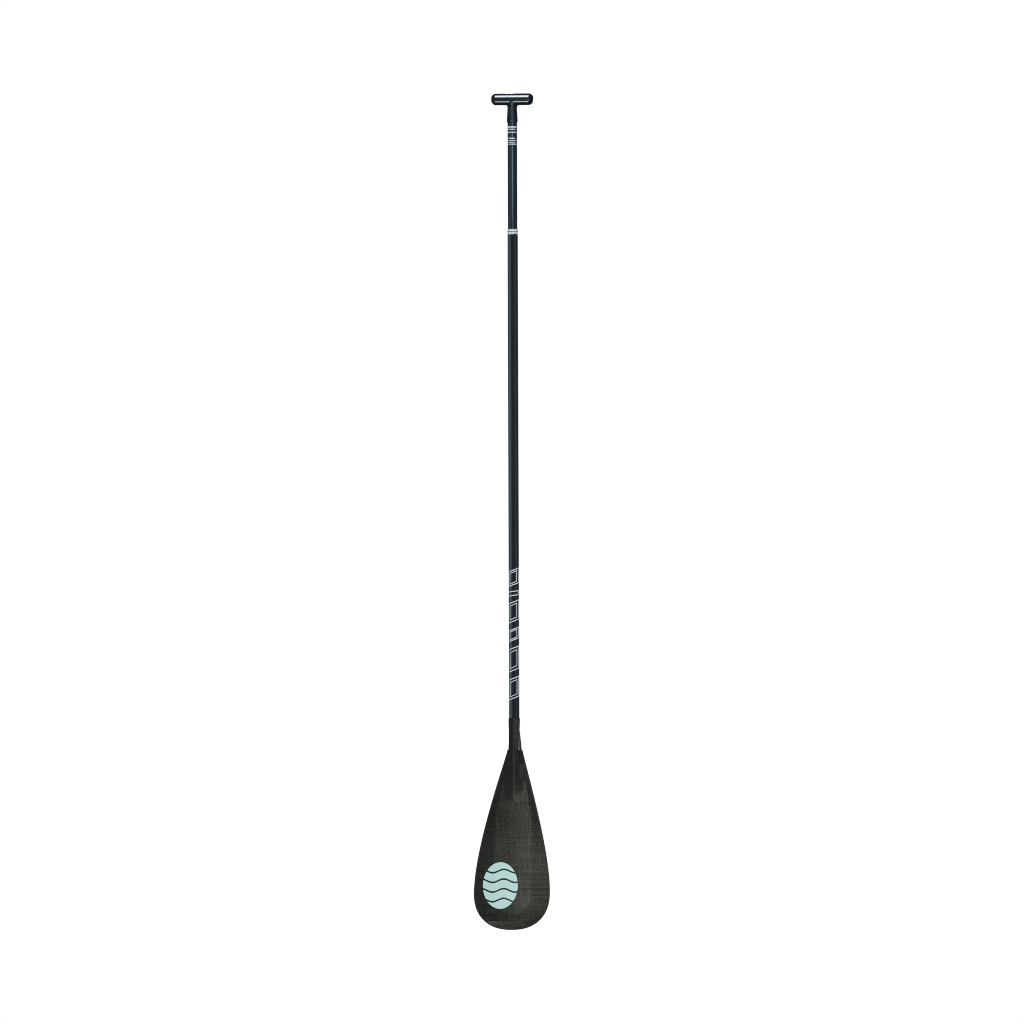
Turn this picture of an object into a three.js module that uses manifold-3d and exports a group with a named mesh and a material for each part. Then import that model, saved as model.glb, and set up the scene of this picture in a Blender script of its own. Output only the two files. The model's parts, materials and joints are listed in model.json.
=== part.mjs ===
// A two-piece adjustable stand-up paddle with a carbon blade, a telescoping shaft and a T-grip.
// A lever in the grip draws a rod up through the upper tube, and the rod squeezes a rubber bush that
// locks the upper tube inside the lower one.
//
// Millimetres. Z runs up the shaft, X runs along the T-grip and across the blade, and +Y is the
// power side of the blade. The origin is on the shaft axis, where the shaft enters the blade's neck.

import * as THREE from 'three';
import { mergeVertices } from 'three/addons/utils/BufferGeometryUtils.js';
import Module from 'manifold-3d';

const wasm = await Module();
wasm.setup();

// ---------------------------------------------------------------- driving dimensions

const ROUND = 36; // sides of a large round part
const SMALL_ROUND = 24; // sides of a small round part
const GAP = 0.3; // clearance between pieces that fit together
const BEYOND = 5; // how far a cut runs on past the surface it opens

const shaft = { radius: 13.3, bore: 12.5, bottom: -70, top: 1278.5 };
const shaftPlug = { bottom: -66, top: -30 };
const mouthBand = { height: 13.6, thickness: 0.15, lift: 0.1 };

const extension = { radius: 12.15, bore: 11.15, bottom: 1048, top: 1574.5 };

const neck = {
  radius: 14.9,
  chamfer: 0.8,
  boreRadius: shaft.radius + GAP,
  boreDepth: 72,
  tubeEnd: -74,
  webTop: -12,
  webTopHalfWidth: 9,
  webTopRidgeHalfWidth: 12,
};

const blade = {
  tip: -551,
  shoulder: -83,
  halfWidth: 100,
  widestAboveTip: 97,
  tipRoundness: 2.3, // exponent of the superellipse that rounds the tip
  shoulderHalfWidth: 19.7,
  flankFullness: 117, // how far up the flank the widest part pulls the curve
  throatFullness: 35,
  throatSlope: 0.21,
  edgeHalfThickness: 1.6,
  railWidth: 3.5,
  skin: 0.8,
  layerGap: 0.2,
  backCrownAtShoulder: 4,
  backCrownAtTip: 1.8,
  faceCrown: 0.8,
};

// The blade leans forward, most of all just below the neck.
const cant = {
  neckOffset: neck.radius - blade.edgeHalfThickness, // the power face runs flush with the neck
  bendStart: -70,
  bendEnd: -100,
  slopeAtBend: Math.tan(THREE.MathUtils.degToRad(14.5)),
  slopeAtTip: Math.tan(THREE.MathUtils.degToRad(5)),
};

// The neck runs on down the back of the blade as a spine. Just below the shoulder it narrows from the
// neck's round to a crest with hollow flanks, and then it sinks into the plate.
const ridge = {
  end: -230,
  fullness: 0.86, // how long the crest holds its height before it sinks
  crestStart: -95,
  footHalfWidth: 26,
  crestPower: 1.25,
  flankPower: 1.4,
};
const ROUND_POWER = 2; // with HALF as the flank's power this makes the neck's ellipse
const HALF = 0.5;

const bar = { centre: 1617.6, halfLength: 55.5, halfHeight: 15.1, halfDepth: 17, endLength: 13, squareness: 2.4 };
const stem = { rim: 1557.2, rimRadius: 14.1, flareTop: 1562.6, flareRadius: 14.2, waist: 1590, waistRadius: 12.5, fillet: 5 };
const spigot = { radius: extension.bore - GAP, bottom: 1535, bore: 4.5 };

const pivot = 1620; // height of the lever's pin
const lever = { halfWidth: 6.9, openDeg: 100, proud: 0.5, underside: 0.5, armStart: 5, pinHole: 2.3 };
const cam = { contact: 8, drop: 2.5 }; // plate to pin when shut, and how far the pin sinks when open
const slot = { halfWidth: 7.2, left: -19, floor: 1619.5, wellLeft: -11.6, wellRight: 9.4, wellFloor: 1610 };
const fingerNotch = { x: 53.5, radius: 5 }; // a pocket in the bar, under the lever's end
const saddle = { thickness: pivot - cam.contact - slot.wellFloor, holeRadius: 3.6 };

const rod = { radius: 2.5, bottom: 990, eyeRadius: 5, eyeHalfWidth: 3, pinRadius: 2 };
const endPlug = { bore: 3, spigotTop: 1063, journal: 9.8, flangeTop: 1036, flangeBottom: 1032, flangeRadius: 11.9 };
const glideRing = { inner: 10.1, outer: 12.3 };
const bush = { top: 1031.8, bottom: 1011.8, outer: 12.2, inner: 3, coneTop: 1022, mouthRadius: 8 };
const cone = { bottom: 1002, radius: 11 };
const washer = { top: 1001.7, thickness: 1.5, radius: 6.5 };
const nut = { top: 999.9, height: 5.4, acrossFlats: 10 };

const film = { lift: 0.1, thickness: 0.1 };
const extensionLabel = { bottom: 1491.5, top: 1553.9, halfAngle: 50 };
const shaftDecal = { bottom: 46.5, top: 392.9, halfAngle: 60 };
const bladeDecal = { left: -76, right: 16, bottom: -496, top: -375, lift: 0.2, thickness: 0.15 };

// ---------------------------------------------------------------- materials

function material(color, roughness, metalness) {
  return new THREE.MeshStandardMaterial({ color, roughness, metalness });
}

const carbonTube = () => material(0x20262c, 0.28, 0.1);
const carbonBlade = () => material(0x2a2c28, 0.38, 0.1);
const edgeResin = () => material(0x1b1d1b, 0.35, 0);
const foam = () => material(0xc9c4b2, 0.9, 0);
const gripPlastic = () => material(0x0c0e11, 0.2, 0);
const acetal = () => material(0xd8d6cf, 0.45, 0);
const rubber = () => material(0x2b2b2c, 0.8, 0);
const rodAlloy = () => material(0xb4b8bc, 0.35, 0.9);
const steel = () => material(0x9aa0a6, 0.3, 1);
const whitePrint = () => material(0xd4d9dc, 0.5, 0);
const mintPrint = () => material(0xb7dad3, 0.45, 0);

// ---------------------------------------------------------------- geometry helpers

// Only positions are kept, and points at the same place become one.
function weld(geometry) {
  const bare = geometry.clone();
  bare.deleteAttribute('normal');
  bare.deleteAttribute('uv');
  return mergeVertices(bare, 1e-4);
}

// Positions and triangles become a geometry. Triangles that shrank to a line are dropped.
function fromTriangles(positions, triangles) {
  const loose = new THREE.BufferGeometry();
  loose.setAttribute('position', new THREE.Float32BufferAttribute(positions, 3));
  loose.setIndex(triangles);
  const welded = weld(loose);
  const index = welded.index.array;
  const kept = [];
  for (let i = 0; i < index.length; i += 3) {
    const [a, b, c] = [index[i], index[i + 1], index[i + 2]];
    if (a !== b && b !== c && c !== a) kept.push(a, b, c);
  }
  welded.setIndex(kept);
  welded.computeVertexNormals();
  return welded;
}

function solid(geometry) {
  const welded = weld(geometry);
  const vertProperties = new Float32Array(welded.attributes.position.array);
  const triVerts = new Uint32Array(welded.index.array);
  return new wasm.Manifold(new wasm.Mesh({ numProp: 3, vertProperties, triVerts }));
}

function geometryOf(body) {
  const mesh = body.getMesh();
  return fromTriangles(Array.from(mesh.vertProperties), Array.from(mesh.triVerts));
}

// A closed profile of [radius, height] pairs, anticlockwise, turned about Z.
function turned(profile, sides = ROUND) {
  const points = profile.map(([radius, height]) => new THREE.Vector2(radius, height));
  points.push(points[0].clone());
  return new THREE.LatheGeometry(points, sides).rotateX(Math.PI / 2);
}

function ring(inner, outer, bottom, top, sides = ROUND) {
  return turned([[inner, bottom], [outer, bottom], [outer, top], [inner, top]], sides);
}

function disc(radius, bottom, top, sides = ROUND) {
  const geometry = new THREE.CylinderGeometry(radius, radius, top - bottom, sides);
  return geometry.rotateX(Math.PI / 2).translate(0, 0, (bottom + top) / 2);
}

function crossPin(radius, halfLength, x, z, sides = SMALL_ROUND) {
  return new THREE.CylinderGeometry(radius, radius, 2 * halfLength, sides).translate(x, 0, z);
}

function block(left, right, halfDepth, bottom, top) {
  const geometry = new THREE.BoxGeometry(right - left, 2 * halfDepth, top - bottom);
  return geometry.translate((left + right) / 2, 0, (bottom + top) / 2);
}

// A closed solid between two grids of points that share their rows and columns.
function sandwich(back, front) {
  const rows = back.length;
  const columns = back[0].length;
  const positions = [...back, ...front].flat().flatMap((point) => point.toArray());
  const at = (layer, row, column) => (layer * rows + row) * columns + column;
  const triangles = [];
  const quad = (a, b, c, d) => triangles.push(a, b, c, a, c, d);
  for (let i = 0; i < rows - 1; i++) {
    for (let j = 0; j < columns - 1; j++) {
      quad(at(0, i, j), at(0, i, j + 1), at(0, i + 1, j + 1), at(0, i + 1, j));
      quad(at(1, i, j), at(1, i + 1, j), at(1, i + 1, j + 1), at(1, i, j + 1));
    }
    quad(at(0, i, 0), at(0, i + 1, 0), at(1, i + 1, 0), at(1, i, 0));
    quad(at(0, i, columns - 1), at(1, i, columns - 1), at(1, i + 1, columns - 1), at(0, i + 1, columns - 1));
  }
  for (let j = 0; j < columns - 1; j++) {
    quad(at(0, 0, j), at(1, 0, j), at(1, 0, j + 1), at(0, 0, j + 1));
    quad(at(0, rows - 1, j), at(0, rows - 1, j + 1), at(1, rows - 1, j + 1), at(1, rows - 1, j));
  }
  return fromTriangles(positions, triangles);
}

// A solid swept through closed sections with the same number of points, capped at both ends.
function loft(sections) {
  const count = sections[0].length;
  const positions = sections.flat().flatMap((point) => point.toArray());
  const triangles = [];
  for (let i = 0; i < sections.length - 1; i++) {
    for (let j = 0; j < count; j++) {
      const a = i * count + j;
      const b = i * count + ((j + 1) % count);
      triangles.push(a, b, b + count, a, b + count, a + count);
    }
  }
  const last = (sections.length - 1) * count;
  for (let j = 1; j < count - 1; j++) {
    triangles.push(0, j + 1, j);
    triangles.push(last, last + j, last + j + 1);
  }
  return fromTriangles(positions, triangles);
}

function spaced(from, to, steps) {
  return Array.from({ length: steps + 1 }, (_, i) => from + ((to - from) * i) / steps);
}

// ---------------------------------------------------------------- blade surfaces

// Half the outline, from the tip (u = 0) through the widest point (u = 0.5) to the shoulder (u = 1).
// inset moves it inwards by about that distance everywhere.
function outlinePoint(u, inset) {
  const { halfWidth, widestAboveTip, tip, tipRoundness } = blade;
  const wide = halfWidth - inset;
  const widest = tip + widestAboveTip;
  if (u <= 0.5) {
    const angle = u * Math.PI;
    const across = Math.sin(angle) ** (2 / tipRoundness);
    const down = u === 0.5 ? 0 : Math.cos(angle) ** (2 / tipRoundness);
    return { x: wide * across, z: widest - (widestAboveTip - inset) * down };
  }
  const throat = blade.shoulderHalfWidth - inset;
  const flank = new THREE.CubicBezierCurve(
    new THREE.Vector2(wide, widest),
    new THREE.Vector2(wide, widest + blade.flankFullness),
    new THREE.Vector2(throat + blade.throatSlope * blade.throatFullness, blade.shoulder - blade.throatFullness),
    new THREE.Vector2(throat, blade.shoulder)
  );
  const point = flank.getPoint(2 * u - 1);
  return { x: point.x, z: point.y };
}

// Where the middle of the blade's thickness lies at a height.
function midY(z) {
  const { neckOffset, bendStart, bendEnd, slopeAtBend, slopeAtTip } = cant;
  if (z >= bendStart) return neckOffset;
  if (z >= bendEnd) return neckOffset - (slopeAtBend * (bendStart - z) ** 2) / (2 * (bendStart - bendEnd));
  const fall = bendEnd - z;
  const run = bendEnd - blade.tip;
  const atBend = neckOffset - (slopeAtBend * (bendStart - bendEnd)) / 2;
  return atBend - slopeAtBend * fall + ((slopeAtBend - slopeAtTip) * fall ** 2) / (2 * run);
}

// How far the spine has turned from the neck's round (0) into a crest (1).
function crestShare(z) {
  return THREE.MathUtils.clamp((blade.shoulder - z) / (blade.shoulder - ridge.crestStart), 0, 1);
}

function ridgeHalfWidth(z, edgeX) {
  if (z >= blade.shoulder) {
    const rise = (z - blade.shoulder) / (neck.webTop - blade.shoulder);
    return THREE.MathUtils.lerp(neck.radius, neck.webTopRidgeHalfWidth, rise);
  }
  return Math.min(0.9 * edgeX, THREE.MathUtils.lerp(neck.radius, ridge.footHalfWidth, crestShare(z)));
}

function backCrown(z) {
  const above = THREE.MathUtils.clamp((z - blade.tip) / (blade.shoulder - blade.tip), 0, 1);
  return THREE.MathUtils.lerp(blade.backCrownAtTip, blade.backCrownAtShoulder, above);
}

// How high the spine stands over the plate. Above the shoulder its top is the back of the neck.
function spineHeight(z) {
  const overPlate = (at) => neck.radius + midY(at) - blade.edgeHalfThickness - backCrown(at);
  if (z >= blade.shoulder) return overPlate(z);
  const fall = Math.min(1, (blade.shoulder - z) / (blade.shoulder - ridge.end));
  return overPlate(blade.shoulder) * (1 - fall) ** 2 * (1 + ridge.fullness * fall);
}

// How far the back stands behind the middle surface: the edge, a low crown, and the spine on top.
function backDepth(x, z, edgeX) {
  const across = edgeX > 0 ? Math.min(1, Math.abs(x) / edgeX) : 1;
  const plain = blade.edgeHalfThickness + backCrown(z) * (1 - across ** 2);
  const offAxis = edgeX > 0 ? Math.min(1, Math.abs(x) / ridgeHalfWidth(z, edgeX)) : 1;
  const crestPower = THREE.MathUtils.lerp(ROUND_POWER, ridge.crestPower, crestShare(z));
  const flankPower = THREE.MathUtils.lerp(HALF, ridge.flankPower, crestShare(z));
  return plain + spineHeight(z) * (1 - offAxis ** crestPower) ** flankPower;
}

function faceDepth(x, edgeX) {
  const across = edgeX > 0 ? Math.min(1, Math.abs(x) / edgeX) : 1;
  return blade.edgeHalfThickness + blade.faceCrown * (1 - across ** 2);
}

// Positions across the blade: close together over the spine, wider apart out to the edge.
function columnsAcross(z, edgeX) {
  const inner = Math.min(ridgeHalfWidth(z, edgeX), 0.6 * edgeX);
  const spine = spaced(-90, 90, 8).map((deg) => inner * Math.sin(THREE.MathUtils.degToRad(deg)));
  const outward = spaced(inner, edgeX, 3).slice(1);
  return [...outward.map((x) => -x).reverse(), ...spine, ...outward];
}

// Steps along the outline, shared by the layers and the rail so that their facets line up.
const outlineSteps = [...spaced(0, 0.5, 7), ...spaced(0.5, 1, 10).slice(1)];

// Rows of the blade's grid, from the tip to the shoulder, inside the edge rail.
function bladeRows() {
  const inset = blade.railWidth + blade.layerGap;
  return outlineSteps.map((u) => outlinePoint(u, inset));
}

// One layer of the blade, between two depths measured from the middle surface towards the back.
function bladeLayer(backOf, frontOf) {
  const grid = bladeRows().map(({ x: edgeX, z }) => columnsAcross(z, edgeX).map((x) => ({ x, z, edgeX })));
  const surface = (depthOf) =>
    grid.map((row) => row.map(({ x, z, edgeX }) => new THREE.Vector3(x, midY(z) - depthOf(x, z, edgeX), z)));
  return sandwich(surface(backOf), surface(frontOf));
}

function backSkin() {
  return bladeLayer(backDepth, (x, z, edgeX) => backDepth(x, z, edgeX) - blade.skin);
}

function faceSkin() {
  return bladeLayer(
    (x, z, edgeX) => blade.skin - faceDepth(x, edgeX),
    (x, z, edgeX) => -faceDepth(x, edgeX)
  );
}

function bladeCore() {
  const inside = blade.skin + blade.layerGap;
  return bladeLayer(
    (x, z, edgeX) => backDepth(x, z, edgeX) - inside,
    (x, z, edgeX) => inside - faceDepth(x, edgeX)
  );
}

// The rail runs from one shoulder round the tip to the other, with a rounded outer edge.
function edgeRail() {
  const thick = blade.edgeHalfThickness;
  const section = [[0, -thick], [0.5, -thick], [1, -0.45 * thick], [1, 0.45 * thick], [0.5, thick], [0, thick]];
  const stations = [...outlineSteps.slice(1).reverse().map((u) => [u, -1]), ...outlineSteps.map((u) => [u, 1])];
  const sections = stations.map(([u, side]) => {
    const inner = outlinePoint(u, blade.railWidth);
    const outer = outlinePoint(u, 0);
    return section.map(([out, y]) => {
      const x = THREE.MathUtils.lerp(inner.x, outer.x, out);
      const z = THREE.MathUtils.lerp(inner.z, outer.z, out);
      return new THREE.Vector3(side * x, midY(z) + y, z);
    });
  });
  return loft(sections);
}

// The neck is a socket for the shaft, with a web on its power side that widens into the blade's shoulders.
function neckSocket() {
  const { radius, chamfer, tubeEnd } = neck;
  const tube = turned([[0, tubeEnd], [radius, tubeEnd], [radius, -chamfer], [radius - chamfer, 0], [0, 0]]);
  const bottom = blade.shoulder + blade.layerGap;
  const rows = spaced(bottom, neck.webTop, 6).map((z) => {
    const rise = (z - blade.shoulder) / (neck.webTop - blade.shoulder);
    return { z, edgeX: THREE.MathUtils.lerp(blade.shoulderHalfWidth, neck.webTopHalfWidth, rise) };
  });
  const surface = (depthOf) =>
    rows.map(({ z, edgeX }) =>
      columnsAcross(z, edgeX).map((x) => new THREE.Vector3(x, midY(z) - depthOf(x, z, edgeX), z))
    );
  const web = sandwich(surface(backDepth), surface((x, z, edgeX) => -faceDepth(x, edgeX) + blade.faceCrown));
  const bore = disc(neck.boreRadius, -neck.boreDepth, 1);
  return geometryOf(solid(tube).add(solid(web)).subtract(solid(bore)));
}

// A thin print laid over the back skin.
function bladePrint() {
  const { left, right, bottom, top, lift, thickness } = bladeDecal;
  const heights = spaced(bottom, top, 6);
  const across = spaced(left, right, 6);
  const edgeX = blade.halfWidth - blade.railWidth;
  const sheet = (above) =>
    heights.map((z) =>
      across.map((x) => new THREE.Vector3(x, midY(z) - backDepth(x, z, edgeX) - above, z))
    );
  return sandwich(sheet(lift + thickness), sheet(lift));
}

// A film on the back of a tube, wrapped part of the way round it.
function wrappedFilm(tubeRadius, { bottom, top, halfAngle }) {
  const inner = tubeRadius + film.lift;
  const outer = inner + film.thickness;
  const from = THREE.MathUtils.degToRad(-90 - halfAngle);
  const to = THREE.MathUtils.degToRad(-90 + halfAngle);
  const outline = new THREE.Shape();
  outline.absarc(0, 0, outer, from, to, false);
  outline.absarc(0, 0, inner, to, from, true);
  const curveSegments = Math.round((2 * halfAngle * ROUND) / 360);
  return new THREE.ExtrudeGeometry(outline, { depth: top - bottom, bevelEnabled: false, curveSegments })
    .translate(0, 0, bottom);
}

// ---------------------------------------------------------------- grip and lever

// The T-bar: a rounded section along X that closes to a point at each end. grow thickens it.
function tBar(grow = 0) {
  const { centre, halfLength, halfHeight, halfDepth, endLength, squareness } = bar;
  const straight = halfLength - endLength;
  const ends = spaced(0, 90, 5).map((deg) => THREE.MathUtils.degToRad(deg));
  const half = ends.map((angle) => ({
    x: straight + (endLength + grow) * Math.sin(angle),
    scale: Math.cos(angle) ** (2 / squareness),
  }));
  half[half.length - 1].scale = 0;
  const stations = [...half.map(({ x, scale }) => ({ x: -x, scale })).reverse(), ...half];
  const sections = stations.map(({ x, scale }) =>
    spaced(0, 360, 24).slice(0, -1).map((deg) => {
      const angle = THREE.MathUtils.degToRad(deg);
      const power = (value) => Math.sign(value) * Math.abs(value) ** (2 / squareness);
      const y = (halfDepth + grow) * scale * power(Math.cos(angle));
      const z = (halfHeight + grow) * scale * power(Math.sin(angle));
      return new THREE.Vector3(x, y, centre + z);
    })
  );
  return loft(sections);
}

// The stem's profile: a flared skirt over the tube, a spigot inside the tube, and a fillet into the bar.
function gripStem() {
  const { rim, rimRadius, flareTop, flareRadius, waist, waistRadius } = stem;
  const tubeEnd = extension.top + GAP;
  const skirtInner = extension.radius + GAP;
  const filletStart = bar.centre - bar.halfHeight - stem.fillet;
  const fillet = spaced(0, 50, 3).map((deg) => {
    const angle = THREE.MathUtils.degToRad(deg);
    return [waistRadius + stem.fillet * (1 - Math.cos(angle)), filletStart + stem.fillet * Math.sin(angle)];
  });
  const [filletRadius] = fillet[fillet.length - 1];
  return turned([
    [spigot.bore, spigot.bottom],
    [spigot.radius, spigot.bottom],
    [spigot.radius, tubeEnd],
    [skirtInner, tubeEnd],
    [skirtInner, rim],
    [rimRadius, rim],
    [flareRadius, flareTop],
    [waistRadius, waist],
    ...fillet,
    [filletRadius, bar.centre - bar.halfHeight / 2],
    [spigot.bore, bar.centre],
  ]);
}

function gripBody() {
  const top = bar.centre + 2 * bar.halfHeight;
  const slotCut = block(slot.left, bar.halfLength + BEYOND, slot.halfWidth, slot.floor, top);
  const well = block(slot.wellLeft, slot.wellRight, slot.halfWidth, slot.wellFloor, top);
  const rodBore = disc(spigot.bore, spigot.bottom - 1, slot.wellFloor + 1, SMALL_ROUND);
  const notchHeight = pivot + lever.underside - fingerNotch.radius;
  const notch = crossPin(fingerNotch.radius, slot.halfWidth, fingerNotch.x, notchHeight);
  const cuts = [slotCut, well, rodBore, notch].map(solid);
  const whole = solid(tBar()).add(solid(gripStem()));
  return geometryOf(cuts.reduce((body, cut) => body.subtract(cut), whole));
}

function camSaddle() {
  const plate = block(slot.wellLeft + GAP, slot.wellRight - GAP, lever.halfWidth, 0.1, saddle.thickness);
  const hole = disc(saddle.holeRadius, -1, saddle.thickness + 1, SMALL_ROUND);
  return geometryOf(solid(plate).subtract(solid(hole)));
}

// The lever's hub, seen along Y and centred on the pin. Its lower left is a spiral cam that lets the
// pin sink as the lever opens, and the flat above the cam stops it when it stands upright.
function leverHub() {
  const radians = THREE.MathUtils.degToRad;
  const shut = cam.contact - GAP;
  const spiral = spaced(0, lever.openDeg, 10).map((turn) => {
    const radius = shut - (cam.drop * turn) / lever.openDeg;
    const angle = radians(270 - turn);
    return new THREE.Vector2(radius * Math.cos(angle), radius * Math.sin(angle));
  });
  const flatDirection = radians(180 - lever.openDeg);
  const flatLength = 8.5;
  const camEnd = spiral[spiral.length - 1];
  const flatTop = new THREE.Vector2(
    camEnd.x + flatLength * Math.cos(flatDirection),
    camEnd.y + flatLength * Math.sin(flatDirection)
  );
  const hubTop = 10.5;
  const right = spaced(-30, -90, 2).map((deg) => {
    const angle = radians(deg);
    return new THREE.Vector2(shut * Math.cos(angle), shut * Math.sin(angle));
  });
  const outline = new THREE.Shape([
    ...spiral,
    flatTop,
    new THREE.Vector2(0, hubTop),
    new THREE.Vector2(lever.armStart + 1, hubTop),
    new THREE.Vector2(shut + 2, lever.underside + 2),
    new THREE.Vector2(shut, lever.underside),
    ...right,
  ]);
  const depth = 2 * lever.halfWidth;
  return new THREE.ExtrudeGeometry(outline, { depth, bevelEnabled: false })
    .rotateX(Math.PI / 2)
    .translate(0, lever.halfWidth, 0);
}

// The arm carries on the bar's own crown, and a fork under it straddles the rod's eye.
function lockLever() {
  const armSpace = block(lever.armStart, bar.halfLength + BEYOND, lever.halfWidth, lever.underside, 40);
  const crown = tBar(lever.proud).translate(0, 0, -pivot);
  const arm = solid(crown).intersect(solid(armSpace));
  const forkTop = rod.eyeRadius + 2 * GAP;
  const fork = block(-20, cam.contact, rod.eyeHalfWidth + GAP, -20, forkTop);
  const pinHole = crossPin(lever.pinHole, slot.halfWidth, 0, 0);
  const cuts = [fork, pinHole].map(solid);
  return geometryOf(cuts.reduce((body, cut) => body.subtract(cut), arm.add(solid(leverHub()))));
}

// ---------------------------------------------------------------- lock parts on the rod

function drawRod() {
  const stemSolid = solid(disc(rod.radius, rod.bottom, pivot - 3, SMALL_ROUND));
  const eye = solid(crossPin(rod.eyeRadius, rod.eyeHalfWidth, 0, pivot));
  const hole = solid(crossPin(lever.pinHole, rod.eyeHalfWidth + 1, 0, pivot));
  return geometryOf(stemSolid.add(eye).subtract(hole));
}

function tubeEndPlug() {
  const { bore, spigotTop, journal, flangeTop, flangeBottom, flangeRadius } = endPlug;
  const insideTube = extension.bore - GAP;
  return turned([
    [bore, flangeBottom],
    [flangeRadius, flangeBottom],
    [flangeRadius, flangeTop],
    [journal, flangeTop],
    [journal, extension.bottom],
    [insideTube, extension.bottom],
    [insideTube, spigotTop],
    [bore, spigotTop],
  ]);
}

function expanderBush() {
  const { top, bottom, outer, inner, coneTop, mouthRadius } = bush;
  return turned([[mouthRadius, bottom], [outer, bottom], [outer, top], [inner, top], [inner, coneTop]]);
}

function pressureCone() {
  const { bottom, coneTop, mouthRadius, inner } = bush;
  const shoulder = bottom - GAP;
  const tipDrop = 1;
  return turned([
    [inner, cone.bottom],
    [cone.radius, cone.bottom],
    [cone.radius, shoulder],
    [mouthRadius - GAP, shoulder],
    [inner + GAP, coneTop - tipDrop],
    [inner, coneTop - tipDrop],
  ]);
}

function lockNut() {
  const cornerRadius = nut.acrossFlats / Math.sqrt(3);
  const hexagon = solid(disc(cornerRadius, nut.top - nut.height, nut.top, 6));
  const thread = solid(disc(rod.radius + GAP, nut.top - nut.height - 1, nut.top + 1, SMALL_ROUND));
  return geometryOf(hexagon.subtract(thread));
}

// ---------------------------------------------------------------- assembly

function piece(name, geometry, finish) {
  const mesh = new THREE.Mesh(geometry, finish);
  mesh.name = name;
  return mesh;
}

function shaftAndBlade() {
  const group = new THREE.Group();
  const bandInner = shaft.radius + mouthBand.lift;
  const band = ring(bandInner, bandInner + mouthBand.thickness, shaft.top - mouthBand.height, shaft.top);
  group.add(
    piece('main_shaft', ring(shaft.bore, shaft.radius, shaft.bottom, shaft.top), carbonTube()),
    piece('shaft_plug', disc(shaft.bore - GAP, shaftPlug.bottom, shaftPlug.top), foam()),
    piece('mouth_band', band, whitePrint()),
    piece('shaft_decal', wrappedFilm(shaft.radius, shaftDecal), whitePrint()),
    piece('neck_socket', neckSocket(), carbonBlade()),
    piece('blade_core', bladeCore(), foam()),
    piece('blade_back_skin', backSkin(), carbonBlade()),
    piece('blade_face_skin', faceSkin(), carbonBlade()),
    piece('blade_edge_rail', edgeRail(), edgeResin()),
    piece('blade_decal', bladePrint(), mintPrint())
  );
  return group;
}

function lockRod() {
  const group = new THREE.Group();
  const washerHole = rod.radius + GAP;
  const pin = new THREE.CylinderGeometry(rod.pinRadius, rod.pinRadius, 2 * lever.halfWidth, SMALL_ROUND);
  const leverPin = piece('lever_pin', pin, steel());
  leverPin.position.z = pivot;
  const rodWasher = ring(washerHole, washer.radius, washer.top - washer.thickness, washer.top, SMALL_ROUND);
  group.add(
    leverPin,
    piece('draw_rod', drawRod(), rodAlloy()),
    piece('pressure_cone', pressureCone(), acetal()),
    piece('rod_washer', rodWasher, steel()),
    piece('lock_nut', lockNut(), steel())
  );
  return group;
}

function extensionAndGrip() {
  const group = new THREE.Group();
  const saddlePlate = piece('cam_saddle', camSaddle(), acetal());
  saddlePlate.position.z = slot.wellFloor;
  const lockArm = piece('lock_lever', lockLever(), gripPlastic());
  lockArm.position.z = pivot;
  const collar = ring(glideRing.inner, glideRing.outer, endPlug.flangeTop + GAP, extension.bottom - GAP);
  group.add(
    piece('extension_tube', ring(extension.bore, extension.radius, extension.bottom, extension.top), carbonTube()),
    piece('extension_label', wrappedFilm(extension.radius, extensionLabel), whitePrint()),
    piece('grip_body', gripBody(), gripPlastic()),
    piece('tube_end_plug', tubeEndPlug(), acetal()),
    piece('glide_ring', collar, acetal()),
    piece('expander_bush', expanderBush(), rubber()),
    saddlePlate,
    lockArm,
    lockRod()
  );
  return group;
}

const group = new THREE.Group();
group.add(shaftAndBlade(), extensionAndGrip());

export default group;
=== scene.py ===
# The looks of an adjustable stand-up paddle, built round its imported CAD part.
#
# Shapes are worked out in millimetres and turned into metres when a mesh is made. Z runs up the shaft,
# X along the T-grip and across the blade, and +Y is the blade's power side.
import json
import math
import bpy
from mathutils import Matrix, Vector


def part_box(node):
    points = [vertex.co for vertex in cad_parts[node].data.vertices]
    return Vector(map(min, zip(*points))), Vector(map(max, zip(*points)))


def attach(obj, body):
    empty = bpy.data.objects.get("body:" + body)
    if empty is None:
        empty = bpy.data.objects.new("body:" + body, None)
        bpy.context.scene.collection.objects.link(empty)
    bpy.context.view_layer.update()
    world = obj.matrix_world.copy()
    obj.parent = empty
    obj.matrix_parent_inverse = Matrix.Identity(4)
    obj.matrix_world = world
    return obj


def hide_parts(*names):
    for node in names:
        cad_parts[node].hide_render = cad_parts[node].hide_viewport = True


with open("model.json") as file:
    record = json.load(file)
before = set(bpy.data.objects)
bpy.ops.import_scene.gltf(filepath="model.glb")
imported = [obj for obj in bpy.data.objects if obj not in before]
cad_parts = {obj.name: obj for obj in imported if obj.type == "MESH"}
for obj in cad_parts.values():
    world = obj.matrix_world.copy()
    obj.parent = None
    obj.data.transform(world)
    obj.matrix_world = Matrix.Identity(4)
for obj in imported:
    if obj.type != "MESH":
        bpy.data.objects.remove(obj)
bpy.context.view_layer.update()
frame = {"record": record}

from types import SimpleNamespace as Sizes

import bmesh
import bpy
import numpy as np
import openvdb
from mathutils import Matrix, Vector

MM = 0.001
WELD = 1e-6  # in metres
BODY_OF = {
    node: body
    for body, nodes in frame["record"]["behaviour"]["bodies"].items()
    for node in nodes
}


def box_mm(node):
    """The lowest and highest corner of a CAD node, in millimetres."""
    low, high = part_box(node)
    return low / MM, high / MM


# ---------------------------------------------------------------- sizes

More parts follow.
